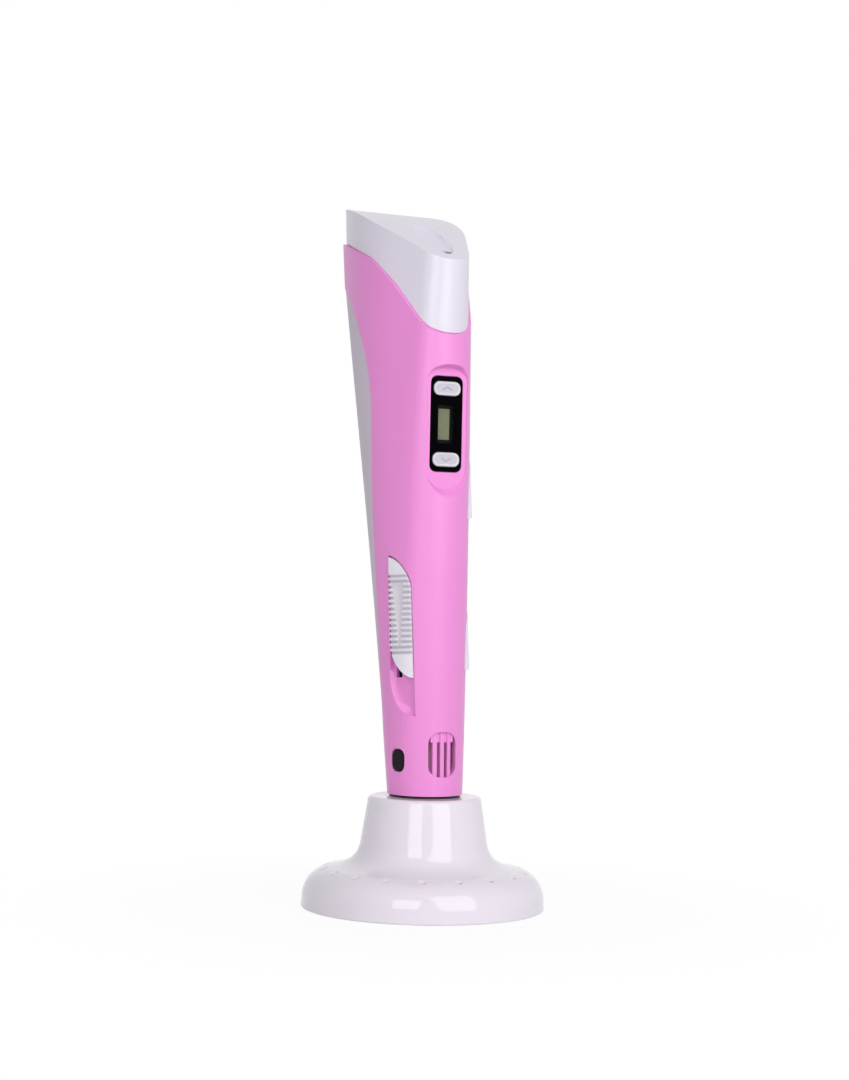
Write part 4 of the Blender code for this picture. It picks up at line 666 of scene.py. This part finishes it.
board = Finish(bpy.data.materials.new("board_green"))
runs = board.node("ShaderNodeTexBrick", {"offset": 0.37}, {
    "Vector": board.place(turn=(math.pi / 2, 0, 0)),
    "Color1": tone(24, 88, 52),
    "Color2": tone(28, 96, 58),
    "Mortar": tone(52, 128, 84),
    "Scale": 1.0,
    "Mortar Size": 0.00012,
    "Brick Width": 0.0052,
    "Row Height": 0.0013,
})
speck = board.noise(board.place(), 900.0, 3.0)
coated("main_board", board.surface(
    Base_Color=board.mix(0.25 * speck, runs, tone(18, 70, 40)),
    Roughness=0.32 + 0.12 * speck,
    Normal=board.bump(runs, 1.2e-5),
))
coated("board_screw_lower", steel)
coated("board_screw_upper", steel)


# Status window: a smoked oval lens low on the left, with a light behind it.
# The lens is polished and sits a little below the shell's chamfered hole.

lens = taken("status_lens", "smoked_lens")
softened(lens, 0.0003, 3)
smoothed(lens)
smoked = polished("smoked_lens", (0.004, 0.003, 0.005, 1), 0.1, 0.12)
dressed(lens, smoked, "pen", "smoked", "status_lens")
led_resin = moulded("led_resin", tone(228, 214, 176), 0.25, 1100.0, 3e-6, 0.05, 0.2)
coated("status_led", led_resin)


# Nose and hot end: a black nose cone round a ceramic tip, with the heater tube and its sleeve inside.
# The cone is moulded with a fine grain; the tip and sleeve are fired ceramic; the tube is turned brass.

cone = taken("nose_cone", "black_nose")
softened(cone, 0.0003, 3)
smoothed(cone)
nose_black = moulded("nose_black", tone(30, 28, 30), 0.48, 900.0, 1.4e-5, 0.1)
dressed(cone, nose_black, "pen", "nose_black", "nose_cone")


def fired(name, colour, rough):
    """Fired ceramic: chalky grain with small darker pits."""
    finish = Finish(bpy.data.materials.new(name))
    chalk = finish.noise(finish.place(), 1300.0, 4.0)
    spots = {"Vector": finish.place(), "Scale": 1500.0}
    pits = finish.node("ShaderNodeTexVoronoi", {}, spots, "Distance")
    pitted = pits < 0.12
    return finish.surface(
        Base_Color=finish.mix(0.5 * chalk + 0.3 * pitted, colour, shade(colour, 0.82)),
        Roughness=rough + 0.15 * chalk,
        Normal=finish.bump(chalk - 0.4 * pitted, 1.2e-5),
    )


tip = taken("nozzle_tip", "ceramic_tip")
softened(tip, 0.00015, 2)
smoothed(tip)
ceramic = fired("ceramic", tone(238, 234, 226), 0.42)
dressed(tip, ceramic, "pen", "ceramic", "nozzle_tip")
brass = metal("turned_brass", tone(205, 164, 88), 0.28, (1, 1, 7))
coated("heater_tube", brass)
coated("heater_sleeve", fired("heater_wrap", tone(220, 209, 190), 0.6))
coated("thermistor", moulded("thermistor_bead", tone(118, 52, 26), 0.12, 700.0, 2e-6, 0.12, 0.6))
chassis = moulded("chassis_grey", tone(60, 60, 63), 0.55, 800.0, 1.2e-5, 0.08)
coated("hot_end_mount", chassis)


# Filament feed: a block with a toothed gear and a plain bearing that grip the filament between them.
# The gear is brass on the gear motor's shaft; tubes lead the filament in from the cap and on to the nose.

coated("feed_block", chassis)
coated("feed_gear", brass)
for name in ("idler_bearing", "idler_pin", "gearbox", "feed_motor"):
    coated(name, steel)
tube_white = moulded("tube_white", tone(234, 233, 228), 0.38, 600.0, 3e-6, 0.03)
coated("feed_tube", tube_white)
coated("inlet_tube", tube_white)


# Inner frame and fan: a dark chassis plate with the cover screws' bosses and a small cooling fan.
# All are moulded; the fan's rotor turns in its square housing behind the plate.

coated("inner_frame", chassis)
fan_black = moulded("fan_black", tone(33, 33, 35), 0.45, 1000.0, 7e-6, 0.1)
coated("fan_frame", fan_black)
coated("fan_rotor", fan_black)


# Power inlet: a barrel socket with a centre pin, in the back of the shell's upper ring.
# The barrel is black moulded plastic; the pin is plated.

low, high = [Vector(c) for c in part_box("dc_jack")]
socket = taken("dc_jack", "power_socket")
softened(socket, 0.0002, 2)
smoothed(socket)
barrel = Finish(bpy.data.materials.new("jack_black"))
centre = ((low.x + high.x) / 2, 0.0, (low.z + high.z) / 2)
parts = barrel.tree.nodes.new("ShaderNodeSeparateXYZ")
barrel.put(parts.inputs[0], barrel.place(centre))
out_x, out_z = Amount(barrel, parts.outputs[0]), Amount(barrel, parts.outputs[2])
pin = (out_x * out_x + out_z * out_z) < 0.00105 ** 2
fleck = barrel.noise(barrel.place(), 1100.0, 2.0)
black = barrel.mix(fleck, tone(28, 28, 29), tone(40, 40, 42))
dressed(socket, barrel.surface(
    Base_Color=barrel.mix(pin, black, tone(200, 198, 190)),
    Metallic=pin,
    Roughness=0.4 + 0.1 * fleck - 0.15 * pin,
    Normal=barrel.bump(fleck, 6e-6),
), "pen", "jack_black", "dc_jack")


# Studio: a plain white floor, two tall soft boxes in front of the pen, a small low one behind it for
# the spine, and pale light all round. The camera stands a little below the display, to the left of it.

VIEW_TURN = math.radians(-29.0)
VIEW_ROLL = 0.021
BOX_DISTANCE = 0.8
ROOM_LIGHT = 0.34
RAYS = ("Is Camera Ray", "Is Glossy Ray", "Is Transmission Ray")
back = Vector((math.sin(VIEW_TURN), -math.cos(VIEW_TURN), 0))
right = Vector((math.cos(VIEW_TURN), math.sin(VIEW_TURN), 0))

bpy.ops.object.select_all(action="DESELECT")
bpy.ops.mesh.primitive_plane_add(size=8.0)
floor = bpy.context.object
floor.name = "studio_floor"
paper = Finish(bpy.data.materials.new("white_paper"))
seen = paper.tree.nodes.new("ShaderNodeLightPath")
seen = [Amount(paper, seen.outputs[n]) for n in RAYS]
away = paper.node("ShaderNodeVectorMath", {"operation": "LENGTH"}, {0: paper.place()}, "Value")
bare = paper.node("ShaderNodeMapRange", {"interpolation_type": "SMOOTHSTEP"}, {
    "Value": away, "From Min": 0.04, "From Max": 0.14, "To Min": 0.93, "To Max": 1.0,
})
shown = (seen[0] + seen[1] + seen[2]) * bare
weave = paper.noise(paper.place(), 60.0, 3.0)
matt = paper.node("ShaderNodeBsdfDiffuse", {}, {
    "Color": paper.mix(weave, (0.9, 0.9, 0.9, 1), (0.92, 0.92, 0.92, 1)),
})
glow = paper.node("ShaderNodeEmission", {}, {"Color": (1, 1, 1, 1), "Strength": 1.0})
sheet = paper.node("ShaderNodeMixShader", {}, {0: shown, 1: matt, 2: glow})
paper.put(paper.tree.nodes["Material Output"].inputs["Surface"], sheet)
floor.data.materials.append(paper.owner)

room = bpy.data.worlds.new("studio_room")
bpy.context.scene.world = room
air = Finish(room)
seen = air.tree.nodes.new("ShaderNodeLightPath")
seen = [Amount(air, seen.outputs[n]) for n in RAYS]
shown = seen[0] + seen[1] + seen[2]
air.put(air.tree.nodes["Background"].inputs["Color"], (1, 1, 1, 1))
air.put(air.tree.nodes["Background"].inputs["Strength"], ROOM_LIGHT + (1 - ROOM_LIGHT) * shown)


def soft_box(name, turn, height, width, tall, power):
    """A lamp behind white cloth, turned round the pen from the camera's side."""
    data = bpy.data.lights.new(name, "AREA")
    data.shape = "RECTANGLE"
    data.size = width
    data.size_y = tall
    data.energy = power
    made = bpy.data.objects.new(name, data)
    way = back * math.cos(math.radians(turn)) + right * math.sin(math.radians(turn))
    made.location = way * BOX_DISTANCE + Vector((0, 0, height))
    made.rotation_euler = (Vector((0, 0, 0.1)) - made.location).to_track_quat("-Z", "Y").to_euler()
    bpy.context.scene.collection.objects.link(made)
    return made


soft_box("soft_box_right", 34, 0.51, 0.60, 0.94, 4.4)
soft_box("soft_box_left", -16, 0.40, 0.38, 0.50, 1.7)
soft_box("soft_box_back", 180, 0.20, 0.30, 0.36, 3.0).visible_glossy = False

lens_data = bpy.data.cameras.new("view")
lens_data.lens = 76.6
lens_data.sensor_width = 36.0
view = bpy.data.objects.new("view", lens_data)
view.location = back * 0.670 + Vector((0, 0, 0.0995))
aim = Vector((0, 0, 0.1068)) - right * 0.0016
look = (aim - view.location).to_track_quat("-Z", "Y").to_matrix().to_4x4()
view.rotation_euler = (look @ Matrix.Rotation(VIEW_ROLL, 4, "Z")).to_euler()
bpy.context.scene.collection.objects.link(view)
bpy.context.scene.camera = view
bpy.context.scene.view_settings.view_transform = "Standard"
